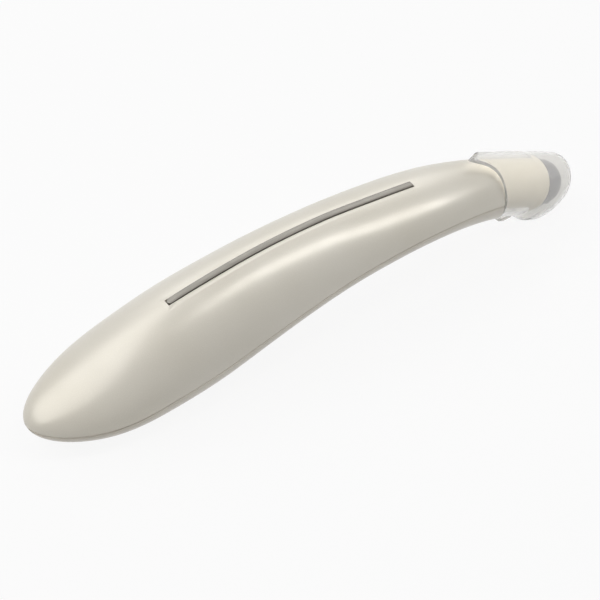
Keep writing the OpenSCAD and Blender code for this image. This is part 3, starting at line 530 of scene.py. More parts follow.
class Finish:
    """A material made of nodes, whose patterns read Object coordinates."""

    def __init__(self, name):
        self.material = bpy.data.materials.new(name)
        self.material.use_nodes = True
        self.tree = self.material.node_tree
        self.tree.nodes.clear()
        self.out = self.add("ShaderNodeOutputMaterial")
        self.place = self.add("ShaderNodeTexCoord").outputs["Object"]

    def add(self, kind, inputs=None, **settings):
        """A new node. inputs links each socket to another, or gives it a value."""
        node = self.tree.nodes.new(kind)
        for key, value in settings.items():
            setattr(node, key, value)
        for key, value in (inputs or {}).items():
            socket = node.inputs[key]
            if isinstance(value, bpy.types.NodeSocket):
                self.tree.links.new(value, socket)
            else:
                socket.default_value = value
        return node

    def noise(self, size_mm, detail=3.0, rough=0.5, stretch=(1, 1, 1)):
        """Noise whose features are about size_mm across, times stretch along each axis."""
        scale = [1 / (size_mm * MM) / s for s in stretch]
        scaled = self.add("ShaderNodeMapping", {"Vector": self.place, "Scale": scale})
        inputs = {"Vector": scaled.outputs[0], "Scale": 1.0, "Detail": detail, "Roughness": rough}
        return self.add("ShaderNodeTexNoise", inputs).outputs["Fac"]

    def ramp(self, value, low, high, to_low, to_high):
        """The value, with low to high stretched evenly over to_low to to_high, and held beyond them."""
        return self.add(
            "ShaderNodeMapRange",
            {"Value": value, "From Min": low, "From Max": high, "To Min": to_low, "To Max": to_high},
        ).outputs["Result"]

    def blend(self, value, first, second):
        """The first colour where value is 0, the second where it is 1, and a mix between."""
        node = self.add("ShaderNodeMix", data_type="RGBA")
        self.tree.links.new(value, node.inputs["Factor"])
        for socket, tone in ((node.inputs["A"], first), (node.inputs["B"], second)):
            if isinstance(tone, bpy.types.NodeSocket):
                self.tree.links.new(tone, socket)
            else:
                socket.default_value = (*tone, 1)
        return node.outputs["Result"]

    def bump(self, height, depth_mm, under=None):
        """Normals of a surface that height raises by up to depth_mm, over the normals under it."""
        inputs = {"Height": height, "Strength": 1.0, "Distance": depth_mm * MM}
        if under is not None:
            inputs["Normal"] = under
        return self.add("ShaderNodeBump", inputs).outputs["Normal"]

    def shader(self, **inputs):
        """The finishing shader. Its sockets are named with _ for a space."""
        named = {}
        for key, value in inputs.items():
            rgb = isinstance(value, tuple) and len(value) == 3
            named[key.replace("_", " ")] = (*value, 1) if rgb else value
        node = self.add("ShaderNodeBsdfPrincipled", named)
        self.tree.links.new(node.outputs[0], self.out.inputs["Surface"])
        return node


def pearl_paint(name, light, deep):
    """Champagne pearl lacquer: mica flecks in the base, a fine skin on top and a clear coat."""
    f = Finish(name)
    drift = f.noise(28, 2.0)
    flecks = f.noise(0.16, 2.0, 0.6)
    tone = f.blend(f.ramp(drift, 0.3, 0.7, 0, 1), light, deep)
    tone = f.blend(f.ramp(flecks, 0.52, 0.75, 0, 0.5), tone, shaded(light, 1.12))
    skin = f.noise(1.6, 2.0, 0.45)
    normal = f.bump(skin, 0.0015, f.bump(flecks, 0.0012))
    f.shader(
        Base_Color=tone,
        Metallic=0.2,
        Roughness=f.ramp(f.noise(5, 3.0), 0.3, 0.7, 0.31, 0.37),
        Normal=normal,
        Coat_Weight=0.25,
        Coat_Roughness=0.2,
    )
    return f.material


def satin_strip(name, tone):
    """Satin metal with fine lengthwise brushing."""
    f = Finish(name)
    lines = f.noise(0.25, 4.0, 0.6, stretch=(30, 1, 3))
    wear = f.noise(4, 3.0)
    f.shader(
        Base_Color=f.blend(f.ramp(lines, 0.35, 0.65, 0, 1), tone, shaded(tone, 1.25)),
        Metallic=0.9,
        Roughness=f.ramp(wear, 0.3, 0.7, 0.28, 0.4),
        Normal=f.bump(lines, 0.004),
    )
    return f.material


def polished_metal(name, tone):
    """Polished plated metal with faint buffing and soft smudges."""
    f = Finish(name)
    buff = f.noise(0.4, 3.0, 0.6, stretch=(1, 8, 1))
    smudge = f.noise(3.5, 3.0)
    f.shader(
        Base_Color=f.blend(f.ramp(smudge, 0.35, 0.7, 0, 1), tone, shaded(tone, 0.93)),
        Metallic=1.0,
        Roughness=f.ramp(smudge, 0.3, 0.75, 0.06, 0.14),
        Normal=f.bump(buff, 0.0006),
    )
    return f.material


def clear_plastic(name, tone):
    """Clear moulded plastic. Lamps shine through it, because shadow rays see it as open."""
    f = Finish(name)
    flow = f.noise(6, 2.0)
    shader = f.shader(
        Base_Color=tone,
        Roughness=f.ramp(flow, 0.3, 0.7, 0.03, 0.08),
        IOR=1.3,
        Transmission_Weight=0.85,
        Normal=f.bump(flow, 0.012),
    )
    path = f.add("ShaderNodeLightPath")
    open_air = f.add("ShaderNodeBsdfTransparent", {"Color": (*tone, 1)})
    sides = {0: path.outputs["Is Shadow Ray"], 1: shader.outputs[0], 2: open_air.outputs[0]}
    mix = f.add("ShaderNodeMixShader", sides)
    f.tree.links.new(mix.outputs[0], f.out.inputs["Surface"])
    return f.material


def moulded_plastic(name, light, deep, rough=0.45, grain_mm=0.35):
    """Moulded plastic with a fine spark-eroded grain."""
    f = Finish(name)
    grain = f.noise(grain_mm, 3.0, 0.6)
    drift = f.noise(9, 2.0)
    f.shader(
        Base_Color=f.blend(f.ramp(drift, 0.3, 0.7, 0, 1), light, deep),
        Roughness=f.ramp(grain, 0.3, 0.7, rough - 0.05, rough + 0.07),
        Normal=f.bump(grain, 0.006),
    )
    return f.material


def soft_rubber(name):
    """Matte black rubber with a dusty bloom."""
    f = Finish(name)
    bloom = f.noise(1.8, 4.0, 0.6)
    f.shader(
        Base_Color=f.blend(f.ramp(bloom, 0.4, 0.8, 0, 1), (0.018, 0.018, 0.02), (0.05, 0.05, 0.052)),
        Roughness=f.ramp(bloom, 0.3, 0.7, 0.62, 0.8),
        Normal=f.bump(f.noise(0.2, 3.0), 0.006),
    )
    return f.material


def plated_steel(name, light, deep, rough=0.28, brush=(1, 1, 1)):
    """Plated or ground steel with fine streaks and darker spots."""
    f = Finish(name)
    streak = f.noise(0.5, 4.0, 0.6, stretch=brush)
    spots = f.noise(2.5, 4.0, 0.65)
    f.shader(
        Base_Color=f.blend(f.ramp(spots, 0.4, 0.75, 0, 1), light, deep),
        Metallic=1.0,
        Roughness=f.ramp(streak, 0.3, 0.7, rough - 0.06, rough + 0.1),
        Normal=f.bump(streak, 0.003),
    )
    return f.material


def circuit_finish(name):
    """Green solder mask with faint copper tracks below it."""
    f = Finish(name)
    tracks = f.add(
        "ShaderNodeTexWave",
        {"Vector": f.place, "Scale": 220.0, "Distortion": 3.0, "Detail": 1.0, "Detail Scale": 0.6},
        bands_direction="Y",
    ).outputs["Fac"]
    f.shader(
        Base_Color=f.blend(f.ramp(tracks, 0.45, 0.6, 0, 1), (0.012, 0.09, 0.04), (0.03, 0.16, 0.07)),
        Roughness=f.ramp(f.noise(0.8, 3.0), 0.3, 0.7, 0.25, 0.4),
        Normal=f.bump(tracks, 0.02),
        Coat_Weight=0.3,
    )
    return f.material


# Pieces

# The strip's section from the foot of one side to near its middle, which the other side mirrors: y
# as a share of the half width and height in mm, drawn for a strip that stands STRIP_DRAWN out
STRIP_SIDE = (
    (-1, -0.8), (-1, 0.02), (-0.99, 0.16), (-0.93, 0.25), (-0.8, 0.3), (-0.5, 0.335), (-0.2, 0.345)
)
STRIP_FOOT = ((0.5, -0.8), (-0.5, -0.8))
STRIP_DRAWN = 0.35
# Before the neck end: how far it still is and how far all above STRIP_EDGE has dropped
STRIP_DROP = ((0.25, 0), (0.12, 0.03), (0.03, 0.11), (0, 0.22))
STRIP_EDGE = 0.1
# Sections round the butt end and along the rest, and the least square of the width's share
NOSE_STEPS, STRIP_STEPS, LEAST_SQUARE = 14, 150, 0.004

# How far in front of the neck's slanted face the sleeve starts and its spigot ends
SLEEVE_START, SPIGOT_END = 0.05, 0.04
# The spigot's two radii, and how far it reaches behind that face
SPIGOT_RADIUS, SPIGOT_BORE, SPIGOT_LENGTH = 4.4, 2.6, 4.4
# Top of the sleeve's floor and radius of the hole in it for the leads
FLOOR_TOP, LEAD_HOLE = 3.4, 2.3
# Rounding of the sleeve's rim and how far behind it the profile starts, then the same of the tip's
# skirt, whose profile starts that far behind the tip's centre
RIM_ROUND, RIM_SIDE = 0.35, 2
SKIRT_ROUND, SKIRT_SIDE = 0.3, 0.3
# The skirt stands this far off the sleeve, where the soft ring shows
SKIRT_GAP = 0.38
# The tip's stem: how far its outside and its hollow lie inside the bore's radius, and how far a
# middle ring and its foot lie behind the sleeve's end
STEM_PLAY, STEM_HOLLOW, STEM_RING, STEM_LENGTH = 0.35, 1.1, 1, 2
DOME_STEPS = 24

# Gap between the rim and the neck's face, and the power of the tongue's bell curve
RIM_GAP, TONGUE_POWER = 0.3, 1.9
# Where the cap swells, counted from the tip's centre
SWELL_START, SWELL_END = -8.0, -4.4
# Behind RAMP_START on the head's axis the rim is drawn in by this much a mm, down to the least wall
RAMP_START, RAMP_SLOPE, LEAST_WALL = -9.2, 0.65, 0.1
# Powers of the upper and lower line's superellipses
TOP_POWER, LOW_POWER = 2.0, 1.5
# The rim's rounding: depth under the outer skin and distance from the edge
RIM_CURVE = ((0.3, 0), (0.12, 0.05), (0.03, 0.14), (0, 0.3))
# Distance of the lining's last full ring from the edge, and the bevel past it
LINING_EDGE, LINING_BEVEL = 0.2, 0.06
# Points round the cap and the eyelet, and rings along the cap's four stretches
CAP_ROUND, EYELET_ROUND = 160, 40
TUBE_RINGS, LINING_RINGS, SWELL_RINGS, END_RINGS = 26, 18, 12, 48
# The lug's outline and the eyelet's place: x below the head's axis and z along it
LUG_OUTLINE = ((10.5, 7.9), (11.2, 8.3), (11.5, 9), (11.5, 10.6), (11.1, 11.5), (10.4, 12.7), (9.6, 13.3))
EYELET = (9.9, 10.2)
# How far outside the lining the lug's root lies, inside the wall
LUG_ROOT = 0.4
# Levels of the plate, y and size, and of the ring round the eyelet and the hole, y and radius
LUG_LEVELS = ((-1, 0.96), (-0.93, 0.99), (-0.8, 1), (0.8, 1), (0.93, 0.99), (1, 0.96))
BOSS_LEVELS = ((-1.25, 1.25), (-1.2, 1.36), (-1.1, 1.4), (1.1, 1.4), (1.2, 1.36), (1.25, 1.25))
HOLE_LEVELS = ((-3, 0.7), (3, 0.7))


def keep_on(piece, body_name, slot_name, *nodes):
    """Lets a piece ride on a body and puts it in the place of CAD nodes; its slot name is not used."""
    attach(piece, body_name)
    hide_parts(*nodes)


class MASSAGER_OT_shells(bpy.types.Operator):
    """Both painted shells and the battery door, smooth on the body's curve, and the button's paint"""

    bl_idname = "massager.shells"
    bl_label = "Painted shells and door"

    def execute(self, context):
        form, full = Form(), Form(full=True)
        light, deep = colour_of("pearl_light"), colour_of("pearl_deep")
        top = pearl_paint("pearl_top", light, deep)
        # The lower shell and the battery door take the darker, shaded copy of the pearl paint: painted
        # shade on the underside
        pan = pearl_paint("pearl_pan", colour_of("shaded_pan_light"), colour_of("shaded_pan_deep"))
        keep_on(painted_skin(form, full, "upper_shell", 1, top), "housing", "pearl_top", "upper_shell")
        keep_on(painted_skin(form, form, "lower_shell", -1, pan), "housing", "pearl_pan", "lower_shell")
        door = painted_skin(form, form, "battery_door", -1, pan)
        keep_on(door, "battery_door", "pearl_pan", "battery_door")
        button_paint = pearl_paint("pearl_button", light, deep)
        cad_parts["power_button"].data.materials[0] = button_paint
        return {"FINISHED"}


class MASSAGER_OT_strip(bpy.types.Operator):
    """Inlay strip: a crowned section carried along the crest, round at the butt end"""

    bl_idname = "massager.strip"
    bl_label = "Inlay strip"

    def execute(self, context):
        form, b = Form(full=True), body()
        half, proud = b.strip_width / MM / 2, b.strip_proud / MM
        run = (b.strip_end - b.strip_start) * form.length
        nose = half * (1 - np.cos(np.linspace(0, np.pi / 2, NOSE_STEPS)))
        left, drops = np.transpose(STRIP_DROP)
        ends = run - left
        d = np.concatenate([nose, np.linspace(half, ends[0], STRIP_STEPS)[1:], ends[1:]])
        wide = np.sqrt(np.clip(1 - np.clip(1 - d / half, 0, 1) ** 2, LEAST_SQUARE, 1))
        drop = np.interp(d, ends, drops)[:, None]
        side = np.array(STRIP_SIDE)
        y, h = np.concatenate([side, side[::-1] * (-1, 1), STRIP_FOOT]).T
        u = b.strip_start + d / form.length
        top = form.depth(1, u) + SEAM_GAP / 2
        high = np.where(h > 0, h / STRIP_DRAWN * proud - drop * (h > STRIP_EDGE), h)
        grid = form.at(np.repeat(u[:, None], len(y), 1), half * wide[:, None] * y, top[:, None] + high)
        metal = satin_strip("strip_metal", colour_of("strip"))
        strip = new_object("inlay_strip", *closed_rings(grid), metal)
        keep_on(strip, "housing", "strip_metal", "accent_strip")
        return {"FINISHED"}


class MASSAGER_OT_head(bpy.types.Operator):
    """Head sleeve with its spigot, and the metal tip"""

    bl_idname = "massager.head"
    bl_label = "Head and tip"

    def execute(self, context):
        form, h = Form(), head()
        bore, end = h.sleeve_bore / MM, h.sleeve_end / MM
        sleeve = self.sleeve(form, h.sleeve_radius / MM, bore, end)
        cream = pearl_paint("pearl_head", colour_of("pearl_light"), colour_of("pearl_deep"))
        tube = new_object("head_tube", *joined(torus_rings(sleeve), torus_rings(self.spigot(form))), cream)
        keep_on(tube, "housing", "pearl_head", "head_sleeve")
        metal = polished_metal("tip_metal", colour_of("tip"))
        tip = new_object("metal_tip", *self.tip(form, h.tip_radius / MM, bore, end), metal)
        keep_on(tip, "housing", "tip_metal", "massage_tip")
        return {"FINISHED"}

    def sleeve(self, form, out, bore, end):
        """Rings of a tube with a rounded rim and a floor, whose foot follows the neck's slanted face."""
        a = circle(HEAD_ROUND)
        x, y = -np.cos(a), np.sin(a)
        side = end - RIM_SIDE
        rim = round_path([(side, out), (end, out), (end, bore), (side, bore)], RIM_ROUND)[1:-1]
        profile = (*rim, (FLOOR_TOP, bore), (FLOOR_TOP, LEAD_HOLE))
        walls = [form.on_head(r * x, r * y, z) for z, r in profile]
        feet = [form.on_head(r * x, r * y, form.head_z(r * x, SLEEVE_START)) for r in (out, LEAD_HOLE)]
        return np.array([feet[0], *walls, feet[1]])

    def spigot(self, form):
        """Rings of a short tube square to the neck's face, which holds the sleeve in the neck."""
        a = circle(HEAD_ROUND)
        x, y = -np.cos(a), np.sin(a)
        rise = HEAD_RISE / math.cos(form.neck_face - form.head_slope)
        start, stop = -SPIGOT_LENGTH, SPIGOT_END
        corners = (start, SPIGOT_RADIUS), (stop, SPIGOT_RADIUS), (stop, SPIGOT_BORE), (start, SPIGOT_BORE)
        return np.array([form.on_neck(-rise + r * x, r * y, z) for z, r in corners])

    def tip(self, form, radius, bore, end):
        """(points, faces) of the tip: a quarter circle, the skirt, the stem and a smaller quarter
        circle inside, turned about the head's axis."""
        centre, stem, inner = form.tip_centre, bore - STEM_PLAY, bore - STEM_HOLLOW
        t = np.linspace(0, np.pi / 2, DOME_STEPS)
        dome = np.stack([centre + radius * np.cos(t), radius * np.sin(t)], -1)
        hollow = np.stack([centre + inner * np.cos(t), inner * np.sin(t)], -1)[::-1]
        edge, foot = end + SKIRT_GAP, end - STEM_LENGTH
        corners = [(centre - SKIRT_SIDE, radius), (edge, radius), (edge, stem), (end - STEM_RING, stem)]
        skirt = round_path(corners, SKIRT_ROUND)
        profile = np.concatenate([dome[1:], skirt[1:], [(foot, stem), (foot, inner)], hollow[:-1]])
        points, faces = closed_rings(turned(form, profile))
        # The last two points are the poles of the dome and of its hollow
        points[-2:] = form.on_head(0.0, 0.0, np.array([centre + radius, centre + inner]))
        return points, faces


def bell(y, half):
    """A bell curve: 1 over 1 plus |y / half| to a power."""
    return 1 / (1 + (np.abs(y) / half) ** TONGUE_POWER)


def tongue(y, h):
    """Reach of the cap's tongue at y beside the crest: its length times a bell curve, which is
    lowered to 0 at the cap's side and stretched back to 1 on the crest."""
    half = h.tongue_half / MM
    low = bell(h.cap_radius / MM, half)
    return h.tongue_length / MM * np.clip(bell(y, half) - low, 0, None) / (1 - low)


class CapForm:
    """The cap as circles across the head's axis: each circle spans from an upper to a lower line."""

    def __init__(self, form, h):
        self.form, self.h, self.centre = form, h, form.tip_centre
        self.tube = h.cap_radius / MM
        self.end = self.centre + h.cap_nose / MM

    def swell(self, z):
        """0 along the tube, rising smoothly to 1 where the round end starts."""
        t = np.clip((z - self.centre - SWELL_START) / (SWELL_END - SWELL_START), 0, 1)
        return t * t * (3 - 2 * t)

    def wall(self, z):
        """Wall in mm, from the tube's to the round end's as the cap swells."""
        h = self.h
        return (h.cap_wall + (h.cap_end_wall - h.cap_wall) * self.swell(z)) / MM

    def line(self, side, z, inside):
        """Height over the axis of the upper (side 1) or lower line, which close on the nose as a
        superellipse. inside is 0 for the outer skin and 1 for the lining."""
        h, s, w = self.h, self.swell(z), inside * self.wall(z)
        r = self.tube + (h.cap_end_radius / MM - self.tube) * s - w
        base, nose = side * r - h.cap_end_drop / MM * s, h.cap_nose_rise / MM
        power, long = (TOP_POWER, h.cap_top_round / MM) if side > 0 else (LOW_POWER, h.cap_low_round / MM)
        t = np.clip((z - self.end + long) / (long - w), 0, 1)
        return nose + (base - nose) * (1 - t**power) ** (1 / power)

    def ring(self, z, a, inside=0.0):
        """Points of the circles at z, (rows, angles, 3); the angle a starts at the top."""
        z = np.asarray(z, float)[:, None]
        top, low = self.line(1, z, inside), self.line(-1, z, inside)
        r, middle = (top - low) / 2, (top + low) / 2
        return self.form.on_head(-middle - r * np.cos(a), r * np.sin(a), z + 0 * a)

    def nose(self, inside):
        """The foremost point of the outer skin or of the lining."""
        z = self.end - inside * self.h.cap_end_wall / MM
        return self.form.on_head(-self.h.cap_nose_rise / MM, 0.0, z)

    def stations(self, inside):
        """Places along the axis from the swell to just short of the nose, closer together there."""
        start, stop = self.centre + SWELL_START, self.end - inside * self.h.cap_end_wall / MM
        ripe = self.centre + SWELL_END
        round_end = ripe + (stop - ripe) * np.sin(np.linspace(0, np.pi / 2, END_RINGS)[1:-1])
        return np.concatenate([np.linspace(start, ripe, SWELL_RINGS)[1:], round_end])


class MASSAGER_OT_cap(bpy.types.Operator):
    """Clear cap: a tube with a swelled round end, a slanted rim with a tongue, and a lug"""

    bl_idname = "massager.cap"
    bl_label = "Clear cap"

    def execute(self, context):
        form, h = Form(), head()
        clear = clear_plastic("cap_clear", colour_of("cap"))
        cap = new_object("clear_cap", *self.tube(form, h), clear)
        combine(cap, self.lug(form, h, clear), "UNION")
        combine(cap, new_object("eyelet", *self.disc(form, HOLE_LEVELS), clear), "DIFFERENCE")
        keep_on(cap, "cap", "cap_clear", "cap")
        return {"FINISHED"}

    def tube(self, form, h):
        """(points, faces) of the cap without its lug. The outer skin and the lining are rings that
        end in a pole each, and they are joined along the rim."""
        shape = CapForm(form, h)
        out, wall = h.cap_radius / MM, h.cap_wall / MM
        inner = out - wall
        swell = shape.centre + SWELL_START
        a = circle(CAP_ROUND)
        x, y = -np.cos(a), np.sin(a)
        upper = np.cos(a) > 0

        def rim(r):
            """Where the rim lies along the head's axis at the radius r."""
            return form.head_z(r * x, RIM_GAP - np.where(upper, tongue(r * y, h), 0))

        def skin(r, z):
            """A ring of the outer skin, drawn in where the tongue follows the neck."""
            r = np.minimum(r, np.maximum(out - (RAMP_START - z) * RAMP_SLOPE, inner + LEAST_WALL))
            return form.on_head(r * x, r * y, z)

        edges = [((out + inner) / 2, 0), *((out - depth, back) for depth, back in RIM_CURVE)]
        rings = [skin(r, rim(r) + back) for r, back in edges]
        start = rim(out) + RIM_CURVE[-1][1]
        rings += [skin(out, start + (swell - start) * t) for t in np.linspace(0, 1, TUBE_RINGS)[1:]]
        outer = np.concatenate([rings, shape.ring(shape.stations(0), a)])
        stop = rim(inner) + LINING_EDGE
        places = [swell + (stop - swell) * t for t in np.linspace(0, 1, LINING_RINGS)]
        rings = [form.on_head(inner * x, inner * y, z) for z in places]
        edge = inner + LINING_BEVEL
        rings.append(form.on_head(edge * x, edge * y, rim(edge) + LINING_BEVEL))
        lining = np.concatenate([shape.ring(shape.stations(1)[::-1], a, 1.0), rings])

        count, n_out, n_in = len(a), len(outer), len(lining)
        poles = [shape.nose(0), shape.nose(1)]
        points = np.concatenate([outer.reshape(-1, 3), lining.reshape(-1, 3), poles])
        j = np.arange(count)
        k = (j + 1) % count
        last, first, brim = (n_out - 1) * count, n_out * count, (n_out + n_in - 1) * count
        pole = len(points) - 2
        faces = [
            *ring_faces(n_out, count).tolist(),
            *np.stack([np.full(count, pole), j + last, k + last], -1).tolist(),
            *np.stack([np.full(count, pole + 1), k + first, j + first], -1).tolist(),
            *ring_faces(n_in, count, first).tolist(),
            *np.stack([brim + j, brim + k, k, j], -1).tolist(),
        ]
        return points, faces

    def lug(self, form, h, clear):
        """A flat plate under the rim with bevelled sides, joined with a ring round its eyelet."""
        root = h.cap_radius / MM - h.cap_wall / MM + LUG_ROOT
        plate = np.array([(root, LUG_OUTLINE[0][1]), *LUG_OUTLINE, (root, LUG_OUTLINE[-1][1])])
        middle = plate.mean(0)
        rings = []
        for y, size in LUG_LEVELS:
            x, z = (middle + (plate - middle) * size).T
            rings.append(form.on_head(x, y, z))
        lug = new_object("lug", *closed_rings(np.array(rings)), clear)
        combine(lug, new_object("boss", *self.disc(form, BOSS_LEVELS), clear), "UNION")
        return lug

    def disc(self, form, levels):
        """(points, faces) of a round solid about the eyelet's axis, from levels of (y, radius)."""
        t = circle(EYELET_ROUND)
        x, z = EYELET
        rings = [form.on_head(x + r * np.cos(t), y, z + r * np.sin(t)) for y, r in levels]
        return closed_rings(np.array(rings))


class MASSAGER_OT_inside(bpy.types.Operator):
    """Finishes of the inner pieces and the screws, which keep their CAD shapes"""

    bl_idname = "massager.inside"
    bl_label = "Inner pieces"

    def execute(self, context):
        steel = plated_steel("motor_steel", (0.62, 0.62, 0.63), (0.5, 0.5, 0.5))
        nickel = plated_steel("contact_nickel", (0.7, 0.67, 0.6), (0.55, 0.52, 0.46), 0.24)
        rubber = soft_rubber("black_rubber")
        plan = {
            "tip_ring": rubber,
            "motor_boot": rubber,
            "motor_can": steel,
            "motor_endbell": moulded_plastic("endbell_white", (0.78, 0.75, 0.66), (0.7, 0.67, 0.58)),
            "motor_bush": plated_steel("bush_bronze", (0.6, 0.42, 0.2), (0.42, 0.28, 0.13), 0.42),
            "motor_shaft": plated_steel("shaft_steel", (0.6, 0.6, 0.61), (0.5, 0.5, 0.5), 0.2, (6, 1, 1)),
            "eccentric_weight": plated_steel("weight_dark", (0.3, 0.3, 0.31), (0.2, 0.2, 0.21), 0.45),
            "motor_leads": moulded_plastic("wire_red", (0.5, 0.02, 0.015), (0.4, 0.015, 0.012), 0.35, 0.15),
            "battery_leads": moulded_plastic(
                "wire_black", (0.02, 0.02, 0.021), (0.035, 0.035, 0.035), 0.35, 0.15
            ),
            "circuit_board": circuit_finish("board_green"),
            "switch_body": moulded_plastic("switch_black", (0.025, 0.025, 0.027), (0.04, 0.04, 0.04), 0.5),
            "switch_plunger": moulded_plastic("plunger_white", (0.75, 0.75, 0.72), (0.68, 0.68, 0.65), 0.4),
            "battery_cell": plated_steel("cell_steel", (0.66, 0.66, 0.67), (0.52, 0.52, 0.52), 0.25),
            "battery_jacket": moulded_plastic(
                "jacket_plain", (0.03, 0.075, 0.19), (0.02, 0.05, 0.14), 0.22, 0.6
            ),
            "battery_spring": nickel,
            "spring_plate": nickel,
            "contact_plate": nickel,
            "shell_screws": plated_steel("screw_steel", (0.5, 0.5, 0.52), (0.36, 0.36, 0.37), 0.3),
        }
        for node, material in plan.items():
            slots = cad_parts[node].data.materials
            for i in range(len(slots)):
                slots[i] = material
        return {"FINISHED"}


# Stage

# The camera's angles in degrees and its distance in mm
CAMERA_AZIMUTH, CAMERA_ELEVATION, CAMERA_ROLL = -31.867, 44.267, -1.49
CAMERA_DISTANCE = 600.0
# The photograph's side in pixels, and where in it the point MIDDLE_HEIGHT mm over the origin lies
PICTURE, PIXELS_PER_MM = 600.0, 3.948
MIDDLE_PIXEL, MIDDLE_HEIGHT = (307.926, 272.667), 15.0
# The sensor's width in mm, and the nearest and farthest that the camera sees in metres
SENSOR, NEAREST, FARTHEST = 36, 0.01, 20
# The point that the lamps face, in metres
LAMP_AIM = (0, 0, 0.01)
# Name, place in metres, direction of the first side, sides in metres and power in watts
LAMPS = (
    ("high_box", (-0.42, 0.22, 0.54), (0.6, 1, 0), (0.8, 0.6), 2.5),
    ("back_box", (0.25, 0.5, 0.5), (1, -0.3, 0), (0.7, 0.4), 1.1),
    ("long_box", (0.31, -0.21, 0.62), (1, -0.4, 0), (0.7, 0.18), 1.6),
)
# Strength of the surroundings as a light, and the share of the floor that glows for direct rays
WORLD_LIGHT, FLOOR_GLOW = 0.1, 0.9
# Half the floor's side and its depth under the wand
FLOOR_HALF, FLOOR_DEPTH = 4000.0, 0.02


def view_axes(azimuth, elevation, roll):
    """(back, right, up) of a camera, from angles in degrees: back leads to it from what it sees, and
    a level direction square to back is turned about back by the roll."""
    a, e, r = map(math.radians, (azimuth, elevation, roll))
    back = np.array([math.sin(a) * math.cos(e), -math.cos(a) * math.cos(e), math.sin(e)])
    side = np.cross([0, 0, 1], back)
    side /= np.linalg.norm(side)
    over = np.cross(back, side)
    return back, math.cos(r) * side + math.sin(r) * over, -math.sin(r) * side + math.cos(r) * over


def lamp(name, at, first, size, power):
    """A soft rectangular lamp that faces LAMP_AIM, its first side as near a direction as that allows."""
    data = bpy.data.lights.new(name, "AREA")
    data.shape, data.size, data.size_y = "RECTANGLE", *size
    data.energy = power
    back = Vector(at) - Vector(LAMP_AIM)
    back.normalize()
    side = Vector(first) - Vector(first).dot(back) * back
    side.normalize()
    made = bpy.data.objects.new(name, data)
    turn = Matrix((side, back.cross(side), back)).transposed().to_4x4()
    made.matrix_world = Matrix.Translation(at) @ turn
    bpy.context.scene.collection.objects.link(made)


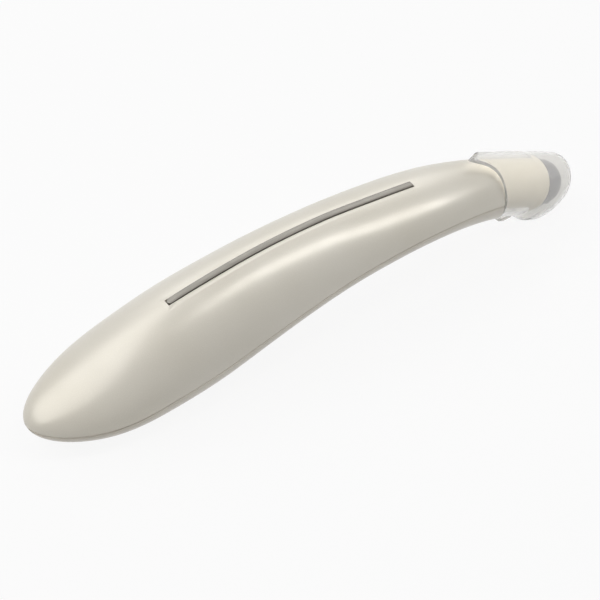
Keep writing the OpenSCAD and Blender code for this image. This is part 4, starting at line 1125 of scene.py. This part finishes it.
class MASSAGER_OT_stage(bpy.types.Operator):
    """Floor, soft lamps, white surroundings and the camera at the photograph's angle"""

    bl_idname = "massager.stage"
    bl_label = "Stage"

    def execute(self, context):
        scene = context.scene
        scene.view_settings.view_transform = "Standard"
        self.camera(scene)
        self.surroundings(scene)
        self.floor()
        for settings in LAMPS:
            lamp(*settings)
        return {"FINISHED"}

    def camera(self, scene):
        """A camera at the photograph's angle, turned so that the wand's middle lies at its pixel."""
        back, right, up = view_axes(CAMERA_AZIMUTH, CAMERA_ELEVATION, CAMERA_ROLL)
        middle = np.array([0, 0, MIDDLE_HEIGHT])
        place = middle + back * CAMERA_DISTANCE
        across, down = ((pixel - PICTURE / 2) / PIXELS_PER_MM for pixel in MIDDLE_PIXEL)
        aim = middle - across * right + down * up
        back = (place - aim) / np.linalg.norm(place - aim)
        right = right - (right @ back) * back
        right /= np.linalg.norm(right)
        up = np.cross(back, right)
        data = bpy.data.cameras.new("camera")
        data.sensor_width = SENSOR
        data.lens = PIXELS_PER_MM * CAMERA_DISTANCE / PICTURE * data.sensor_width
        data.clip_start, data.clip_end = NEAREST, FARTHEST
        made = bpy.data.objects.new("camera", data)
        matrix = np.eye(4)
        matrix[:3, :3] = np.stack([right, up, back], 1)
        matrix[:3, 3] = place * MM
        made.matrix_world = Matrix(matrix.tolist())
        scene.collection.objects.link(made)
        scene.camera = made

    def surroundings(self, scene):
        """White to the eye, in mirrors and through the cap; dimmer as a light."""
        world = bpy.data.worlds.new("surroundings")
        scene.world = world
        world.use_nodes = True
        tree = world.node_tree
        tree.nodes.clear()
        strength = tree.nodes.new("ShaderNodeMapRange")
        strength.inputs["To Min"].default_value = WORLD_LIGHT
        strength.inputs["To Max"].default_value = 1.0
        tree.links.new(seen_directly(tree), strength.inputs["Value"])
        shade = tree.nodes.new("ShaderNodeBackground")
        shade.inputs["Color"].default_value = (1, 1, 1, 1)
        tree.links.new(strength.outputs[0], shade.inputs["Strength"])
        out = tree.nodes.new("ShaderNodeOutputWorld")
        tree.links.new(shade.outputs[0], out.inputs["Surface"])

    def floor(self):
        """A pale floor with a faint grain, open from below. Direct rays see it mostly glow."""
        f = Finish("pale_floor")
        grain = f.noise(2.5, 3.0)
        pale = f.blend(grain, (0.88, 0.88, 0.88), (0.9, 0.9, 0.9))
        matte = f.add("ShaderNodeBsdfDiffuse", {"Color": pale})
        glow = f.add("ShaderNodeEmission", {"Color": (1, 1, 1, 1), "Strength": 1.0})
        share_seen = f.ramp(seen_directly(f.tree), 0, 1, 0, FLOOR_GLOW)
        lit = f.add("ShaderNodeMixShader", {0: share_seen, 1: matte.outputs[0], 2: glow.outputs[0]})
        open_air = f.add("ShaderNodeBsdfTransparent")
        under = f.add("ShaderNodeNewGeometry").outputs["Backfacing"]
        both = f.add("ShaderNodeMixShader", {0: under, 1: lit.outputs[0], 2: open_air.outputs[0]})
        f.tree.links.new(both.outputs[0], f.out.inputs["Surface"])
        side, low = FLOOR_HALF, -FLOOR_DEPTH
        corners = np.array([(-side, -side, low), (side, -side, low), (side, side, low), (-side, side, low)])
        new_object("floor", corners, [(0, 1, 2, 3)], f.material)


class MASSAGER_PT_panel(bpy.types.Panel):
    """Lists the sizes, the finishes and the steps"""

    bl_idname = "MASSAGER_PT_panel"
    bl_label = "Eye massager"
    bl_space_type = "VIEW_3D"
    bl_region_type = "UI"
    bl_category = "Massager"

    def draw(self, context):
        for group_name in GROUPS:
            group = getattr(context.scene, group_name)
            box = self.layout.box()
            for name in group.bl_rna.properties.keys():
                if name not in ("rna_type", "name"):
                    box.prop(group, name)
        for step in STEPS:
            self.layout.operator(step.bl_idname)


STEPS = (
    MASSAGER_OT_stage,
    MASSAGER_OT_shells,
    MASSAGER_OT_strip,
    MASSAGER_OT_head,
    MASSAGER_OT_cap,
    MASSAGER_OT_inside,
)
GROUPS = {"massager_body": BodySizes, "massager_head": HeadSizes, "massager_finishes": Finishes}


def register():
    """Registers the groups of sizes, the steps and the panel, and hangs the groups on the scene."""
    for group in GROUPS.values():
        bpy.utils.register_class(group)
    for step in STEPS:
        bpy.utils.register_class(step)
    bpy.utils.register_class(MASSAGER_PT_panel)
    for name, group in GROUPS.items():
        setattr(bpy.types.Scene, name, PointerProperty(type=group))


def unregister():
    """Takes back what register did."""
    for name in GROUPS:
        delattr(bpy.types.Scene, name)
    bpy.utils.unregister_class(MASSAGER_PT_panel)
    for step in reversed(STEPS):
        bpy.utils.unregister_class(step)
    for group in GROUPS.values():
        bpy.utils.unregister_class(group)


def main():
    """Runs each step in order."""
    register()
    for step in STEPS:
        family, name = step.bl_idname.split(".")
        getattr(getattr(bpy.ops, family), name)()


if __name__ == "__main__":
    main()
